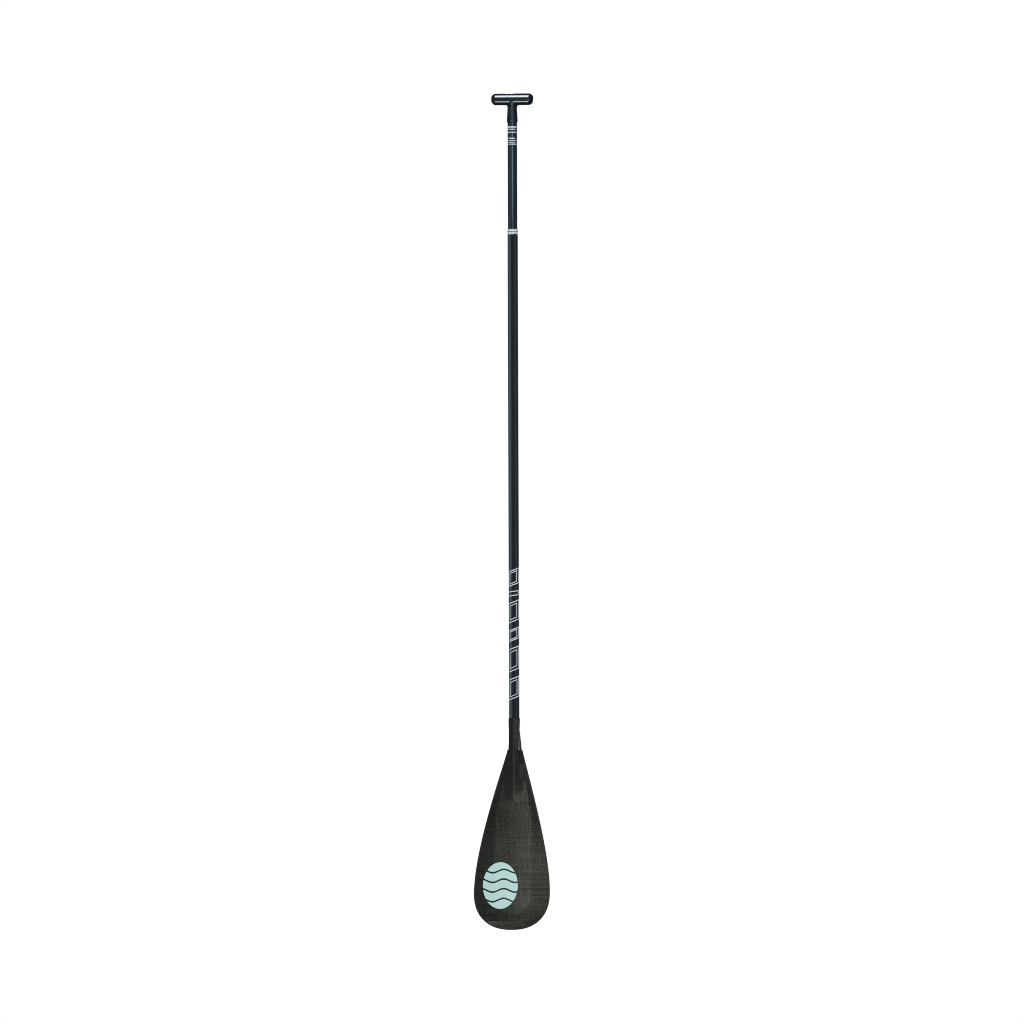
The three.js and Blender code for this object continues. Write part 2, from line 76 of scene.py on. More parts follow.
shaft_low, shaft_high = box_mm("main_shaft")
tube_low, tube_high = box_mm("extension_tube")
rail_low, rail_high = box_mm("blade_edge_rail")
grip_low, grip_high = box_mm("grip_body")
band_low, band_high = box_mm("mouth_band")
plug_low, plug_high = box_mm("shaft_plug")
end_low, end_high = box_mm("tube_end_plug")
ring_low, ring_high = box_mm("glide_ring")
bush_low, bush_high = box_mm("expander_bush")
cone_low, cone_high = box_mm("pressure_cone")
washer_low, washer_high = box_mm("rod_washer")
nut_low, nut_high = box_mm("lock_nut")
rod_low, _ = box_mm("draw_rod")
pin_low, pin_high = box_mm("lever_pin")
saddle_low, saddle_high = box_mm("cam_saddle")
label_low, label_high = box_mm("extension_label")
print_low, print_high = box_mm("shaft_decal")

RESIN = 0.2
shaft = Sizes(radius=shaft_high.x + RESIN, bore=shaft_high.x - 0.8, bottom=shaft_low.z, top=shaft_high.z)
tube = Sizes(radius=tube_high.x + RESIN, bore=tube_high.x - 1.0, bottom=tube_low.z, top=tube_high.z)
neck = Sizes(
    radius=14.9,
    rounding=0.8,
    bore_radius=shaft.radius + 0.06,
    bore_depth=72,
    web_top=-12,
    web_top_half_width=10.9,
    web_foot_half_width=17.76,
    web_spread=0.37,
    web_corner_deg=140,
)
blade = Sizes(
    tip=rail_low.z,
    shoulder=rail_high.z,
    half_width=rail_high.x,
    widest_above_tip=97,
    tip_roundness=2.3,
    shoulder_half_width=19.7,
    flank_fullness=117,
    throat_fullness=35,
    throat_slope=0.21,
    edge_half_thickness=1.6,
    rail_width=3.5,
    skin=0.8,
    seam=0.04,
    back_crown_at_shoulder=1.5,
    back_crown_at_tip=5,
    face_crown=0.8,
    panel_half_width=49,
    panel_share=0.74,
    panel_share_at_shoulder=0.45,
    panel_end=-170,
    panel_fall=0.17,
    panel_softness=0.05,
)
cant = Sizes(
    neck_offset=neck.radius - blade.edge_half_thickness,
    bend_start=-70,
    bend_end=-100,
    slope_at_bend=math.tan(math.radians(14.5)),
    slope_at_tip=math.tan(math.radians(5)),
)
ridge = Sizes(
    end=-230,
    fullness=0.86,
    crest_start=-118,
    crest_radius=13,
    foot_half_width=26,
    foot_at_neck=16.8,
    foot_share=0.98,
    round_power=0.5,
    flank_power=1.15,
    round_softness=0.48,
)
bar = Sizes(end_length=13, half_height=15.1, half_depth=17, squareness=2.4)
bar.centre = grip_high.z - bar.half_height
bar.straight = -grip_low.x - bar.end_length
pivot = (pin_low.z + pin_high.z) / 2


# ---------------------------------------------------------------- mesh helpers

class Shape:
    """Points in millimetres and faces, gathered from several closed parts."""

    def __init__(self):
        self.points = []
        self.faces = []

    def add(self, points, faces):
        base = len(self.points)
        self.points.extend(np.asarray(points, float).reshape(-1, 3).tolist())
        self.faces.extend([base + int(i) for i in face] for face in faces)

    def slab(self, top, bottom, closed=False):
        """A closed solid between two grids of points. closed joins the last row to the first."""
        rows, columns = top.shape[:2]
        links = rows if closed else rows - 1

        def at(layer, row, column):
            return (layer * rows + row % rows) * columns + column

        faces = []
        for i in range(links):
            for j in range(columns - 1):
                faces.append((at(0, i, j), at(0, i, j + 1), at(0, i + 1, j + 1), at(0, i + 1, j)))
                faces.append((at(1, i, j), at(1, i + 1, j), at(1, i + 1, j + 1), at(1, i, j + 1)))
            for j in (0, columns - 1):
                faces.append((at(0, i, j), at(0, i + 1, j), at(1, i + 1, j), at(1, i, j)))
        if not closed:
            for i in (0, rows - 1):
                for j in range(columns - 1):
                    faces.append((at(0, i, j), at(1, i, j), at(1, i, j + 1), at(0, i, j + 1)))
        self.add(np.concatenate([top.reshape(-1, 3), bottom.reshape(-1, 3)]), faces)

    def loft(self, sections, ring=False):
        """A closed solid through closed sections. ring joins the last section to the first."""
        sections = np.asarray(sections, float)
        rows, count = sections.shape[:2]
        faces = []
        for i in range(rows if ring else rows - 1):
            here, there = i * count, (i + 1) % rows * count
            for j in range(count):
                k = (j + 1) % count
                faces.append((here + j, here + k, there + k, there + j))
        if not ring:
            faces.append(range(count))
            faces.append(range((rows - 1) * count, rows * count))
        self.add(sections, faces)

    def lathe(self, profile, sides=96):
        """A closed profile of (radius, height, rounding) corners, turned about Z."""
        outline = rounded(profile)
        turns = np.linspace(0, 2 * np.pi, sides, endpoint=False)
        radius = outline[:, 0]
        sections = [
            np.stack([radius * math.cos(a), radius * math.sin(a), outline[:, 1]], axis=1) for a in turns
        ]
        self.loft(sections, ring=True)


def rounded(corners, steps=4):
    """A closed outline with an arc of the given radius at each (a, b, radius) corner."""
    points = []
    count = len(corners)
    for i, (a, b, radius) in enumerate(corners):
        here = np.array([a, b], float)
        before = np.array(corners[i - 1][:2], float) - here
        after = np.array(corners[(i + 1) % count][:2], float) - here
        if radius == 0:
            points.append(here)
            continue
        room = 0.45 * min(np.linalg.norm(before), np.linalg.norm(after))
        before /= np.linalg.norm(before)
        after /= np.linalg.norm(after)
        half = math.acos(np.clip(before @ after, -1, 1)) / 2
        trim = min(room, radius / math.tan(half))
        bisector = (before + after) / np.linalg.norm(before + after)
        centre = here + bisector * trim / math.cos(half)
        start = here + before * trim - centre
        end = here + after * trim - centre
        span = math.acos(np.clip(start @ end / (start @ start), -1, 1))
        for t in np.linspace(0, 1, steps + 1):
            turned = start * math.sin((1 - t) * span) + end * math.sin(t * span)
            points.append(centre + turned / math.sin(span))
    return np.array(points)


def make_piece(node, shape, finish, smooth_deg=40):
    """Turns a shape into the piece that is shown instead of a CAD node, and lets it ride on its body."""
    mesh = bpy.data.meshes.new(node + "_look")
    mesh.from_pydata([tuple(MM * c for c in p) for p in shape.points], [], shape.faces)
    work = bmesh.new()
    work.from_mesh(mesh)
    bmesh.ops.remove_doubles(work, verts=work.verts, dist=WELD)
    bmesh.ops.recalc_face_normals(work, faces=work.faces)
    work.to_mesh(mesh)
    work.free()
    mesh.shade_smooth()
    mesh.set_sharp_from_angle(angle=math.radians(smooth_deg))
    mesh.materials.append(finish)
    piece = bpy.data.objects.new(node + "_look", mesh)
    bpy.context.scene.collection.objects.link(piece)
    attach(piece, BODY_OF[node])
    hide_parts(node)



# ---------------------------------------------------------------- shapes from distance functions

def surface(distance, low, high, voxel):
    """The shape whose surface is where distance(x, y, z) is zero, inside the box from low to high."""
    axes = [np.arange(a, b + voxel, voxel, dtype=np.float32) for a, b in zip(low, high)]
    band = 3 * voxel
    values = np.clip(distance(*np.meshgrid(*axes, indexing="ij")), -band, band)
    grid = openvdb.FloatGrid(background=band)
    grid.copyFromArray(values.astype(np.float32))
    points, quads = grid.convertToQuads(0.0)
    points = points * voxel + np.array([axis[0] for axis in axes])
    for _ in range(3):
        points = points - toward_surface(distance, points, voxel)
    shape = Shape()
    shape.add(points, quads)
    return shape


def toward_surface(distance, points, voxel):
    """The step that takes points nearly on a surface onto it."""
    probe = 0.1 * voxel
    slope = np.empty_like(points)
    for axis in range(3):
        shift = np.zeros(3)
        shift[axis] = probe
        slope[:, axis] = (distance(*(points + shift).T) - distance(*(points - shift).T)) / (2 * probe)
    step = distance(*points.T)[:, None] * slope / np.maximum((slope ** 2).sum(axis=1), 0.25)[:, None]
    return np.clip(step, -0.4 * voxel, 0.4 * voxel)


def joined(a, b, fillet):
    """Two solids joined with a fillet in the corner between them."""
    corner = np.hypot(np.maximum(fillet - a, 0), np.maximum(fillet - b, 0))
    return np.maximum(fillet, np.minimum(a, b)) - corner


def common(a, b, rounding):
    """What two solids share, with its edges rounded."""
    corner = np.hypot(np.maximum(rounding + a, 0), np.maximum(rounding + b, 0))
    return np.minimum(-rounding, np.maximum(a, b)) + corner


def cut(a, b, rounding):
    """The first solid less the second, with the new edges rounded."""
    return common(a, -b, rounding)


def block(x, y, z, low, high):
    q = [np.abs(p - (a + b) / 2) - (b - a) / 2 for p, a, b in zip((x, y, z), low, high)]
    outside = np.sqrt(sum(np.maximum(p, 0) ** 2 for p in q))
    return outside + np.minimum(np.maximum(np.maximum(q[0], q[1]), q[2]), 0)


def cross_cylinder(x, y, z, centre_x, centre_z, radius, half_length):
    return np.maximum(np.hypot(x - centre_x, z - centre_z) - radius, np.abs(y) - half_length)


def polygon(x, z, corners):
    """Distance to a closed outline of (x, z) corners, negative inside."""
    nearest = np.full(x.shape, np.inf)
    inside = np.ones(x.shape)
    for (ax, az), (bx, bz) in zip(corners, corners[1:] + corners[:1]):
        ex, ez = bx - ax, bz - az
        wx, wz = x - ax, z - az
        along = np.clip((wx * ex + wz * ez) / (ex * ex + ez * ez), 0, 1)
        nearest = np.minimum(nearest, (wx - ex * along) ** 2 + (wz - ez * along) ** 2)
        above, below, left = z >= az, z < bz, ex * wz > ez * wx
        flips = (above & below & left) | (~above & ~below & ~left)
        inside = np.where(flips, -inside, inside)
    return inside * np.sqrt(nearest)


# ---------------------------------------------------------------- materials

class Value:
    """A number, colour or vector that varies over a surface: an output of one of a Finish's nodes."""

    def __init__(self, finish, socket):
        self.finish = finish
        self.socket = socket

    def __add__(self, other):
        return self.finish.math("ADD", self, other)

    def __sub__(self, other):
        return self.finish.math("SUBTRACT", self, other)

    def __mul__(self, other):
        return self.finish.math("MULTIPLY", self, other)

    def ranged(self, *limits):
        """This value, stretched from (low, high) to (to_low, to_high)."""
        return self.finish.node("MapRange", dict(enumerate((self, *limits))))[0]


class Finish:
    """One procedural material: a Principled shader, and short calls for the nodes that feed it."""

    def __init__(self, name, **constants):
        self.material = bpy.data.materials.new(name)
        self.material.use_nodes = True
        self.nodes = self.material.node_tree.nodes
        self.shader = self.nodes["Principled BSDF"]
        self.place = Value(self, self.nodes.new("ShaderNodeTexCoord").outputs["Object"])
        for socket, value in constants.items():
            self.shader.inputs[socket.replace("_", " ")].default_value = value

    def feed(self, socket, value):
        if isinstance(value, Value):
            self.material.node_tree.links.new(value.socket, socket)
        else:
            socket.default_value = value

    def node(self, kind, inputs, **settings):
        """A new node's outputs."""
        node = self.nodes.new("ShaderNode" + kind)
        for name, setting in settings.items():
            setattr(node, name, setting)
        for key, value in inputs.items():
            self.feed(node.inputs[key], value)
        return [Value(self, socket) for socket in node.outputs]

    def math(self, operation, *values):
        return self.node("Math", dict(enumerate(values)), operation=operation)[0]

    def parts(self, vector):
        return self.node("SeparateXYZ", {0: vector})

    def noise(self, scale, detail=3.0, at=None):
        return self.node("TexNoise", {"Vector": at or self.place, "Scale": scale, "Detail": detail})[0]

    def marks(self, stretch, detail):
        """Noise whose scale differs along X, Y and Z, so that it is drawn out into streaks."""
        stretched = self.node("VectorMath", {0: self.place, 1: stretch}, operation="MULTIPLY")[0]
        return self.noise(1.0, detail, stretched)

    def mix(self, share, a, b):
        a, b = ((*colour, 1) if isinstance(colour, tuple) else colour for colour in (a, b))
        return self.node("Mix", {0: share, 6: a, 7: b}, data_type="RGBA")[2]

    def made(self, colour, roughness, height=None, depth=0.0):
        """The finished material. Its surface is raised by depth millimetres where height is 1."""
        self.feed(self.shader.inputs["Base Color"], colour)
        self.feed(self.shader.inputs["Roughness"], roughness)
        if height:
            bump = self.node("Bump", {"Distance": depth * MM, "Height": height})[0]
            self.feed(self.shader.inputs["Normal"], bump)
        return self.material


def carbon_tube(name, radius, dark, light):
    """Wound carbon under clear resin: crossed tows just visible, with faint streaks along the tube."""
    finish = Finish(name, Coat_Weight=0.35, Coat_Roughness=0.2)
    x, y, up = finish.parts(finish.place)
    around = finish.math("ARCTAN2", x, y * -1.0) * (radius * MM)
    tow = 4 * MM
    waves = [finish.math("SINE", (around + up * slant) * (2 * math.pi / tow)) for slant in (1.0, -1.0)]
    weave = (waves[0] * waves[1]).ranged(-1, 1, 0, 1)
    drawn_out = finish.node("CombineXYZ", {0: around * 900.0, 1: up * 9.0, 2: 0.0})[0]
    streaks = finish.noise(1.0, at=drawn_out)
    tone = weave * 0.25 + streaks * 0.45 + finish.noise(14.0, 2.0) * 0.3
    roughness = streaks.ranged(0.3, 0.7, 0.3, 0.42)
    return finish.made(finish.mix(tone, dark, light), roughness, weave * 0.3 + streaks, 0.02)


def carbon_weave(name, dark, light):
    """Plain-weave carbon cloth under satin resin. Each tow is rounded, and crosses over and under. Its colour
    darkens towards each tow's edges: partly the dark gap between tows, partly painted shade where the rounded
    tow turns away from the light.
    """
    finish = Finish(name, Coat_Weight=0.15, Coat_Roughness=0.15)
    x, _, z = finish.parts(finish.place)
    tow = 3.2 * MM
    wobble = finish.noise(22.0, 1.0) * 0.5
    across = finish.math("DIVIDE", x, tow) + wobble
    along = finish.math("DIVIDE", z, tow) + wobble
    checks = finish.math("FLOOR", across) + finish.math("FLOOR", along)
    warp_on_top = finish.math("PINGPONG", checks, 1.0)
    weft_on_top = finish.math("SUBTRACT", 1.0, warp_on_top)

    def woven(warp, weft):
        return warp * warp_on_top + weft * weft_on_top

    def crown(way):
        return finish.math("ABSOLUTE", finish.math("SINE", way * math.pi))

    tow_crowns_and_painted_shade = woven(crown(across), crown(along))
    fibre = woven(finish.marks((4000.0, 0.0, 150.0), 2.0), finish.marks((150.0, 0.0, 4000.0), 2.0))
    warp_streaks = finish.marks((330.0, 0.0, 6.0), 2.0)
    weft_streaks = finish.marks((6.0, 0.0, 330.0), 2.0)
    tone = finish.noise(420.0) * 0.36 + warp_streaks * 0.14 + weft_streaks * 0.2
    tone = tone + finish.noise(9.0) * 0.16 + fibre * 0.14
    # The colour falls to 0.55 at each tow's edges: painted shade of the rounded tows, beside the darker gaps
    # between them.
    tone = tone.ranged(0.38, 0.62, 0.0, 1.0) * tow_crowns_and_painted_shade.ranged(0.0, 0.7, 0.55, 1.0)
    finish.feed(finish.shader.inputs["Specular IOR Level"], tone.ranged(0.2, 0.8, 0.2, 0.85))
    roughness = finish.marks((400.0, 400.0, 40.0), 4.0).ranged(0.35, 0.75, 0.2, 0.3)
    return finish.made(finish.mix(tone, dark, light), roughness, tow_crowns_and_painted_shade + fibre * 0.15, 0.02)


def edge_resin():
    """The smooth rail round the blade, with paler scuffs."""
    finish = Finish("edge_resin", Coat_Weight=0.15, Coat_Roughness=0.3)
    scuffs = finish.noise(260.0, 5.0).ranged(0.5, 0.72, 0.0, 1.0)
    colour = finish.mix(scuffs, (0.018, 0.019, 0.017), (0.05, 0.052, 0.047))
    return finish.made(colour, scuffs.ranged(0.0, 1.0, 0.34, 0.6), finish.noise(700.0), 0.03)


def foam():
    finish = Finish("foam")
    pores = finish.node("TexVoronoi", {"Vector": finish.place, "Scale": 1600.0})[0]
    colour = finish.mix(pores, (0.62, 0.58, 0.46), (0.74, 0.71, 0.6))
    return finish.made(colour, pores.ranged(0.0, 1.0, 0.95, 0.8), pores, 0.3)


def grip_plastic():
    """Moulded black plastic, polished by hands, with fine hairline scuffs."""
    finish = Finish("grip_plastic", Coat_Roughness=0.1)
    _, _, z = finish.parts(finish.place)
    stem_side, bar_side = 1.594, 1.608  # the polish fades in from the stem to the bar
    held = z.ranged(stem_side, bar_side, 0.0, 1.0)
    finish.feed(finish.shader.inputs["Coat Weight"], held)
    wear = finish.noise(90.0, 4.0).ranged(0.45, 0.7, 0.0, 1.0)
    colour = finish.mix(wear, (0.004, 0.0062, 0.0105), (0.0075, 0.011, 0.017))
    hairlines = finish.marks((60.0, 900.0, 900.0), 5.0)
    roughness = hairlines.ranged(0.35, 0.7, 0.42, 0.46) - held * 0.2
    return finish.made(colour, roughness, finish.noise(1500.0, 2.0), 0.002)


def acetal():
    finish = Finish("acetal", Subsurface_Weight=0.08, Coat_Weight=0.1)
    flow = finish.marks((120.0, 120.0, 500.0), 4.0)
    colour = finish.mix(flow, (0.66, 0.65, 0.6), (0.78, 0.77, 0.73))
    return finish.made(colour, flow.ranged(0.3, 0.7, 0.38, 0.5), flow, 0.02)


def bush_rubber():
    finish = Finish("bush_rubber")
    bloom = finish.noise(200.0, 4.0)
    colour = finish.mix(bloom, (0.012, 0.012, 0.013), (0.035, 0.035, 0.036))
    return finish.made(colour, bloom.ranged(0.3, 0.7, 0.7, 0.9), finish.noise(1800.0), 0.03)


def drawn_metal(name, dark, light, stretch):
    """Bare metal with fine marks drawn out along one direction."""
    finish = Finish(name, Metallic=1.0)
    marks = finish.marks(stretch, 5.0)
    return finish.made(finish.mix(marks, dark, light), marks.ranged(0.3, 0.7, 0.22, 0.42), marks, 0.01)


def printed(name, ink, worn):
    """Ink under clear film, with pinholes and paler patches."""
    finish = Finish(name, Coat_Weight=0.3, Coat_Roughness=0.2)
    specks = finish.noise(900.0).ranged(0.55, 0.75, 0.0, 1.0)
    patches = finish.noise(60.0)
    colour = finish.mix(specks * 0.5 + patches * 0.35, ink, worn)
    return finish.made(colour, patches.ranged(0.3, 0.7, 0.35, 0.5), specks, 0.01)


def band_print():
    """White print with one thin grey line round it."""
    finish = Finish("band_print", Coat_Weight=0.3, Coat_Roughness=0.2)
    _, _, z = finish.parts(finish.place)
    line_height = (band_low.z + 0.52 * (band_high.z - band_low.z)) * MM
    line = finish.math("ABSOLUTE", z - line_height).ranged(1.0 * MM, 1.5 * MM, 1.0, 0.0)
    soil = finish.marks((200.0, 200.0, 600.0), 4.0)
    white = finish.mix(soil, (0.86, 0.88, 0.9), (0.68, 0.72, 0.76))
    colour = finish.mix(line, white, (0.3, 0.33, 0.36))
    return finish.made(colour, soil.ranged(0.3, 0.7, 0.35, 0.5), soil, 0.01)


# ---------------------------------------------------------------- blade surfaces

def bezier(t, a, b, c, d):
    return (1 - t) ** 3 * a + 3 * t * (1 - t) ** 2 * b + 3 * t ** 2 * (1 - t) * c + t ** 3 * d


def outline(u, inset):
    """Half width and height of the blade's outline, from the tip (u = 0) to the shoulder (u = 1)."""
    u = np.asarray(u, float)
    wide = blade.half_width - inset
    widest = blade.tip + blade.widest_above_tip
    turn = np.minimum(u, 0.5) * np.pi
    power = 2 / blade.tip_roundness
    tip_x = wide * np.sin(turn) ** power
    tip_z = widest - (blade.widest_above_tip - inset) * np.clip(np.cos(turn), 0, 1) ** power
    throat = blade.shoulder_half_width - inset
    t = np.clip(2 * u - 1, 0, 1)
    flank_x = bezier(t, wide, wide, throat + blade.throat_slope * blade.throat_fullness, throat)
    throat_pull = blade.shoulder - blade.throat_fullness
    flank_z = bezier(t, widest, widest + blade.flank_fullness, throat_pull, blade.shoulder)
    return np.where(u <= 0.5, tip_x, flank_x), np.where(u <= 0.5, tip_z, flank_z)


SKIN_INSET = blade.rail_width + blade.seam
EDGE_X, EDGE_Z = outline(np.linspace(0, 1, 600), SKIN_INSET)
STEPS = np.concatenate([np.linspace(0, 0.5, 57), np.linspace(0.5, 1, 111)[1:]])


def edge_at(z):
    return np.interp(z, EDGE_Z, EDGE_X)


def ease(share):
    """0 to 1 with a soft start and a soft end."""
    return share * share * (3 - 2 * share)


def mid_y(z):
    """Where the middle of the blade's thickness lies at a height."""
    z = np.asarray(z, float)
    bend = cant.bend_start - cant.bend_end
    in_bend = cant.neck_offset - cant.slope_at_bend * (cant.bend_start - z) ** 2 / (2 * bend)
    fall = cant.bend_end - z
    easing = (cant.slope_at_bend - cant.slope_at_tip) * fall ** 2 / (2 * (cant.bend_end - blade.tip))
    below = cant.neck_offset - cant.slope_at_bend * bend / 2 - cant.slope_at_bend * fall + easing
    return np.select([z >= cant.bend_start, z >= cant.bend_end], [cant.neck_offset, in_bend], below)


def back_crown(z):
    above = np.clip((z - blade.tip) / (blade.shoulder - blade.tip), 0, 1)
    return blade.back_crown_at_tip + (blade.back_crown_at_shoulder - blade.back_crown_at_tip) * above


def out_from_middle(x, z):
    """0 in the middle of the blade and 1 on its edge, round the tip too."""
    n = blade.tip_roundness
    widest = blade.tip + blade.widest_above_tip
    down = np.maximum(0, widest - z) / (blade.widest_above_tip - SKIN_INSET)
    half = np.where(z < widest, blade.half_width - SKIN_INSET, edge_at(z))
    return np.clip((np.abs(x) / half) ** n + down ** n, 0, 1) ** (1 / n)


def panel_crown(out, z):
    """The back's crown, 1 to 0: a nearly flat middle panel, and bands that slope down to the edge."""
    down = np.clip((blade.shoulder - z) / (blade.shoulder - blade.panel_end), 0, 1)
    share = blade.panel_share_at_shoulder + (blade.panel_share - blade.panel_share_at_shoulder) * down
    crease = np.minimum(share, blade.panel_half_width / np.maximum(edge_at(z), 1))
    panel = 1 - blade.panel_fall * (out / crease) ** 2
    band = (1 - blade.panel_fall) * (1 - out) / (1 - crease)
    blend = np.clip(0.5 + (band - panel) / (2 * blade.panel_softness), 0, 1)
    return band + (panel - band) * blend - blade.panel_softness * blend * (1 - blend)


def height_over_plate(z):
    return neck.radius + mid_y(z) - blade.edge_half_thickness - back_crown(z)


def spine_height(z):
    fall = np.clip((blade.shoulder - z) / (blade.shoulder - ridge.end), 0, 1)
    sinking = height_over_plate(blade.shoulder) * (1 - fall) ** 2 * (1 + ridge.fullness * fall)
    return np.where(z >= blade.shoulder, height_over_plate(z), sinking)


def spine_shape(x, z, foot, height):
    """1 on the spine's crest and 0 at its foot. The neck's round turns into a crest with hollow flanks."""
    crest = np.clip((blade.shoulder - z) / (blade.shoulder - ridge.crest_start), 0, 1)
    power = ridge.round_power + (ridge.flank_power - ridge.round_power) * crest
    sharp = np.minimum(ridge.round_softness, ridge.crest_radius * power * height / foot ** 2)
    roundness = ridge.round_softness + (sharp - ridge.round_softness) * crest
    soft = roundness / np.sqrt(1 - 2 * roundness)
    off = np.clip(np.abs(x) / foot, 0, 1)
    away = (np.hypot(off, soft) - soft) / (np.hypot(1, soft) - soft)
    return (1 - np.clip(away, 0, 1)) ** power


def back_depth(x, z):
    """How far the blade's back stands behind the middle of its thickness."""
    crest = np.clip((blade.shoulder - z) / (blade.shoulder - ridge.crest_start), 0, 1)
    widening = ridge.foot_at_neck + (ridge.foot_half_width - ridge.foot_at_neck) * crest
    foot = np.minimum(ridge.foot_share * np.maximum(edge_at(z), 1), widening)
    height = spine_height(z)
    plate = blade.edge_half_thickness + back_crown(z) * panel_crown(out_from_middle(x, z), z)
    return plate + height * spine_shape(x, z, foot, height)


def face_depth(x, z):
    return blade.edge_half_thickness + blade.face_crown * (1 - out_from_middle(x, z) ** 2)


def blade_grid(depth):
    """Points of a blade surface, with columns close together over the spine."""
    edge, heights = outline(STEPS, SKIN_INSET)
    share = np.linspace(-1, 1, 61)
    x = edge[:, None] * (np.sign(share) * np.abs(share) ** 1.5)[None, :]
    z = np.broadcast_to(heights[:, None], x.shape)
    return np.stack([x, mid_y(z) - depth(x, z), z], axis=2)


def blade_layer(back, front):
    shape = Shape()
    shape.slab(blade_grid(back), blade_grid(front))
    return shape


def edge_rail():
    thick = blade.edge_half_thickness
    flat = (blade.rail_width - thick) / blade.rail_width
    turn = np.linspace(-np.pi / 2, np.pi / 2, 17)
    out = np.concatenate([[0], flat + thick / blade.rail_width * np.cos(turn), [0]])
    depth = np.concatenate([[-thick], thick * np.sin(turn), [thick]])
    inner_x, inner_z = outline(STEPS, blade.rail_width)
    outer_x, outer_z = outline(STEPS, 0)
    sections = []
    for side, order in ((-1, range(len(STEPS) - 1, 0, -1)), (1, range(len(STEPS)))):
        for i in order:
            x = side * (inner_x[i] + (outer_x[i] - inner_x[i]) * out)
            z = inner_z[i] + (outer_z[i] - inner_z[i]) * out
            sections.append(np.stack([x, mid_y(z) + depth, z], axis=1))
    shape = Shape()
    shape.loft(sections)
    return shape


# ---------------------------------------------------------------- neck

def neck_section(z):
    """The neck's outline at a height: round at the top, and webbed out to the shoulders at the bottom."""
    fall = min(1, max(0, (neck.web_top - z) / (neck.web_top - blade.shoulder)))
    half_width = neck.web_top_half_width + (neck.web_foot_half_width - neck.web_top_half_width) * fall
    thick = blade.edge_half_thickness
    flat_end = half_width - thick
    foot = min(ridge.foot_at_neck, ridge.foot_share * flat_end)
    middle = float(mid_y(z))
    height = float(height_over_plate(z))
    spine_points, flat_points, edge_points, face_points = 28, 6, 10, 12
    back_x = np.concatenate([
        foot * np.sin(np.linspace(0, np.pi / 2, spine_points)),
        foot + (flat_end - foot) * np.linspace(0, 1, flat_points)[1:],
    ])
    plate = thick + back_crown(z) * panel_crown(back_x / flat_end, z)
    edge_turn = np.linspace(-np.pi / 2, np.pi / 2, edge_points)[1:-1]
    face_x = flat_end * np.linspace(1, 0, face_points)
    webbed_x = np.concatenate([back_x, flat_end + thick * np.cos(edge_turn), face_x])
    webbed_y = middle + np.concatenate([
        -plate - height * spine_shape(back_x, z, foot, height),
        thick * np.sin(edge_turn),
        thick + blade.face_crown * fall * (1 - (face_x / flat_end) ** 2),
    ])
    corner = neck.web_corner_deg
    flat_start, face_start = corner - 5, corner + 15
    around = np.concatenate([
        np.linspace(0, flat_start, spine_points),
        np.linspace(flat_start, corner, flat_points)[1:],
        np.linspace(corner, face_start, edge_points)[1:-1],
        np.linspace(face_start, 180, face_points),
    ])
    web_share = ease(min(1, fall / neck.web_spread))
    back_share = fall ** 7
    share = back_share + (web_share - back_share) * np.clip(around / corner, 0, 1) ** 4
    x = (1 - share) * neck.radius * np.sin(np.radians(around)) + share * webbed_x
    y = -(1 - share) * neck.radius * np.cos(np.radians(around)) + share * webbed_y
    left = slice(-2, 0, -1)
    return np.concatenate([x, -x[left]]), np.concatenate([y, y[left]])


def neck_socket():
    """The neck's outside, its rounded top rim and the bore that takes the shaft, as one closed solid."""
    sections = []
    for z in np.linspace(blade.shoulder, -neck.rounding, 56):
        x, y = neck_section(z)
        sections.append(np.stack([x, y, np.full_like(x, z)], axis=1))
    circle = sections[-1][:, :2] / neck.radius
    top = neck.radius - neck.rounding
    rim = [
        (top + neck.rounding * math.cos(a), neck.rounding * (math.sin(a) - 1))
        for a in np.linspace(0.2, np.pi / 2, 6)
    ]
    rim += [(neck.bore_radius + 0.15, 0), (neck.bore_radius, -0.15), (neck.bore_radius, -neck.bore_depth)]
    for radius, z in rim:
        sections.append(np.column_stack([circle * radius, np.full(len(circle), z)]))
    shape = Shape()
    shape.loft(sections)
    return shape


# ---------------------------------------------------------------- prints

def on_blade(points, lift):
    """Points (x, z) laid on the blade's back, lifted off it."""
    x, z = points[..., 0], points[..., 1]
    return np.stack([x, mid_y(z) - back_depth(x, z) - lift, z], axis=-1)


def on_tube(radius):
    """Lays points (distance round from the back line, height) on a tube."""
    def place(points, lift):
        turn = points[..., 0] / radius
        reach = radius + lift
        return np.stack([reach * np.sin(turn), -reach * np.cos(turn), points[..., 1]], axis=-1)
    return place


def finely(path, step, closed):
    """The same path with points no further apart than step."""
    ends = np.roll(path, -1, axis=0) if closed else path[1:]
    fine = []
    for a, b in zip(path, ends):
        count = max(1, math.ceil(np.linalg.norm(b - a) / step))
        fine.extend(a + (b - a) * i / count for i in range(count))
    if not closed:
        fine.append(path[-1])
    return np.array(fine)


FILM_LIFT = 0.12
FILM = 0.1


def add_ribbon(shape, path, width, place, closed=False, step=2.0, lift=FILM_LIFT, thickness=FILM):
    """A thin printed line of a width along a flat path, laid on a surface."""
    path = finely(np.asarray(path, float), step, closed)
    if closed:
        before, after = path - np.roll(path, 1, axis=0), np.roll(path, -1, axis=0) - path
    else:
        runs = np.diff(path, axis=0)
        before, after = np.vstack([runs[:1], runs]), np.vstack([runs, runs[-1:]])
    before /= np.linalg.norm(before, axis=1)[:, None]
    after /= np.linalg.norm(after, axis=1)[:, None]
    tangent = before + after
    tangent /= np.linalg.norm(tangent, axis=1)[:, None]
    normal = np.stack([-tangent[:, 1], tangent[:, 0]], axis=1)
    mitre = 1 / np.maximum(0.4, (tangent * after).sum(axis=1))
    half = (np.broadcast_to(width, len(path)) / 2 * mitre)[:, None] * normal
    flat = np.stack([path - half, path, path + half], axis=1)
    shape.slab(place(flat, lift + thickness), place(flat, lift), closed)


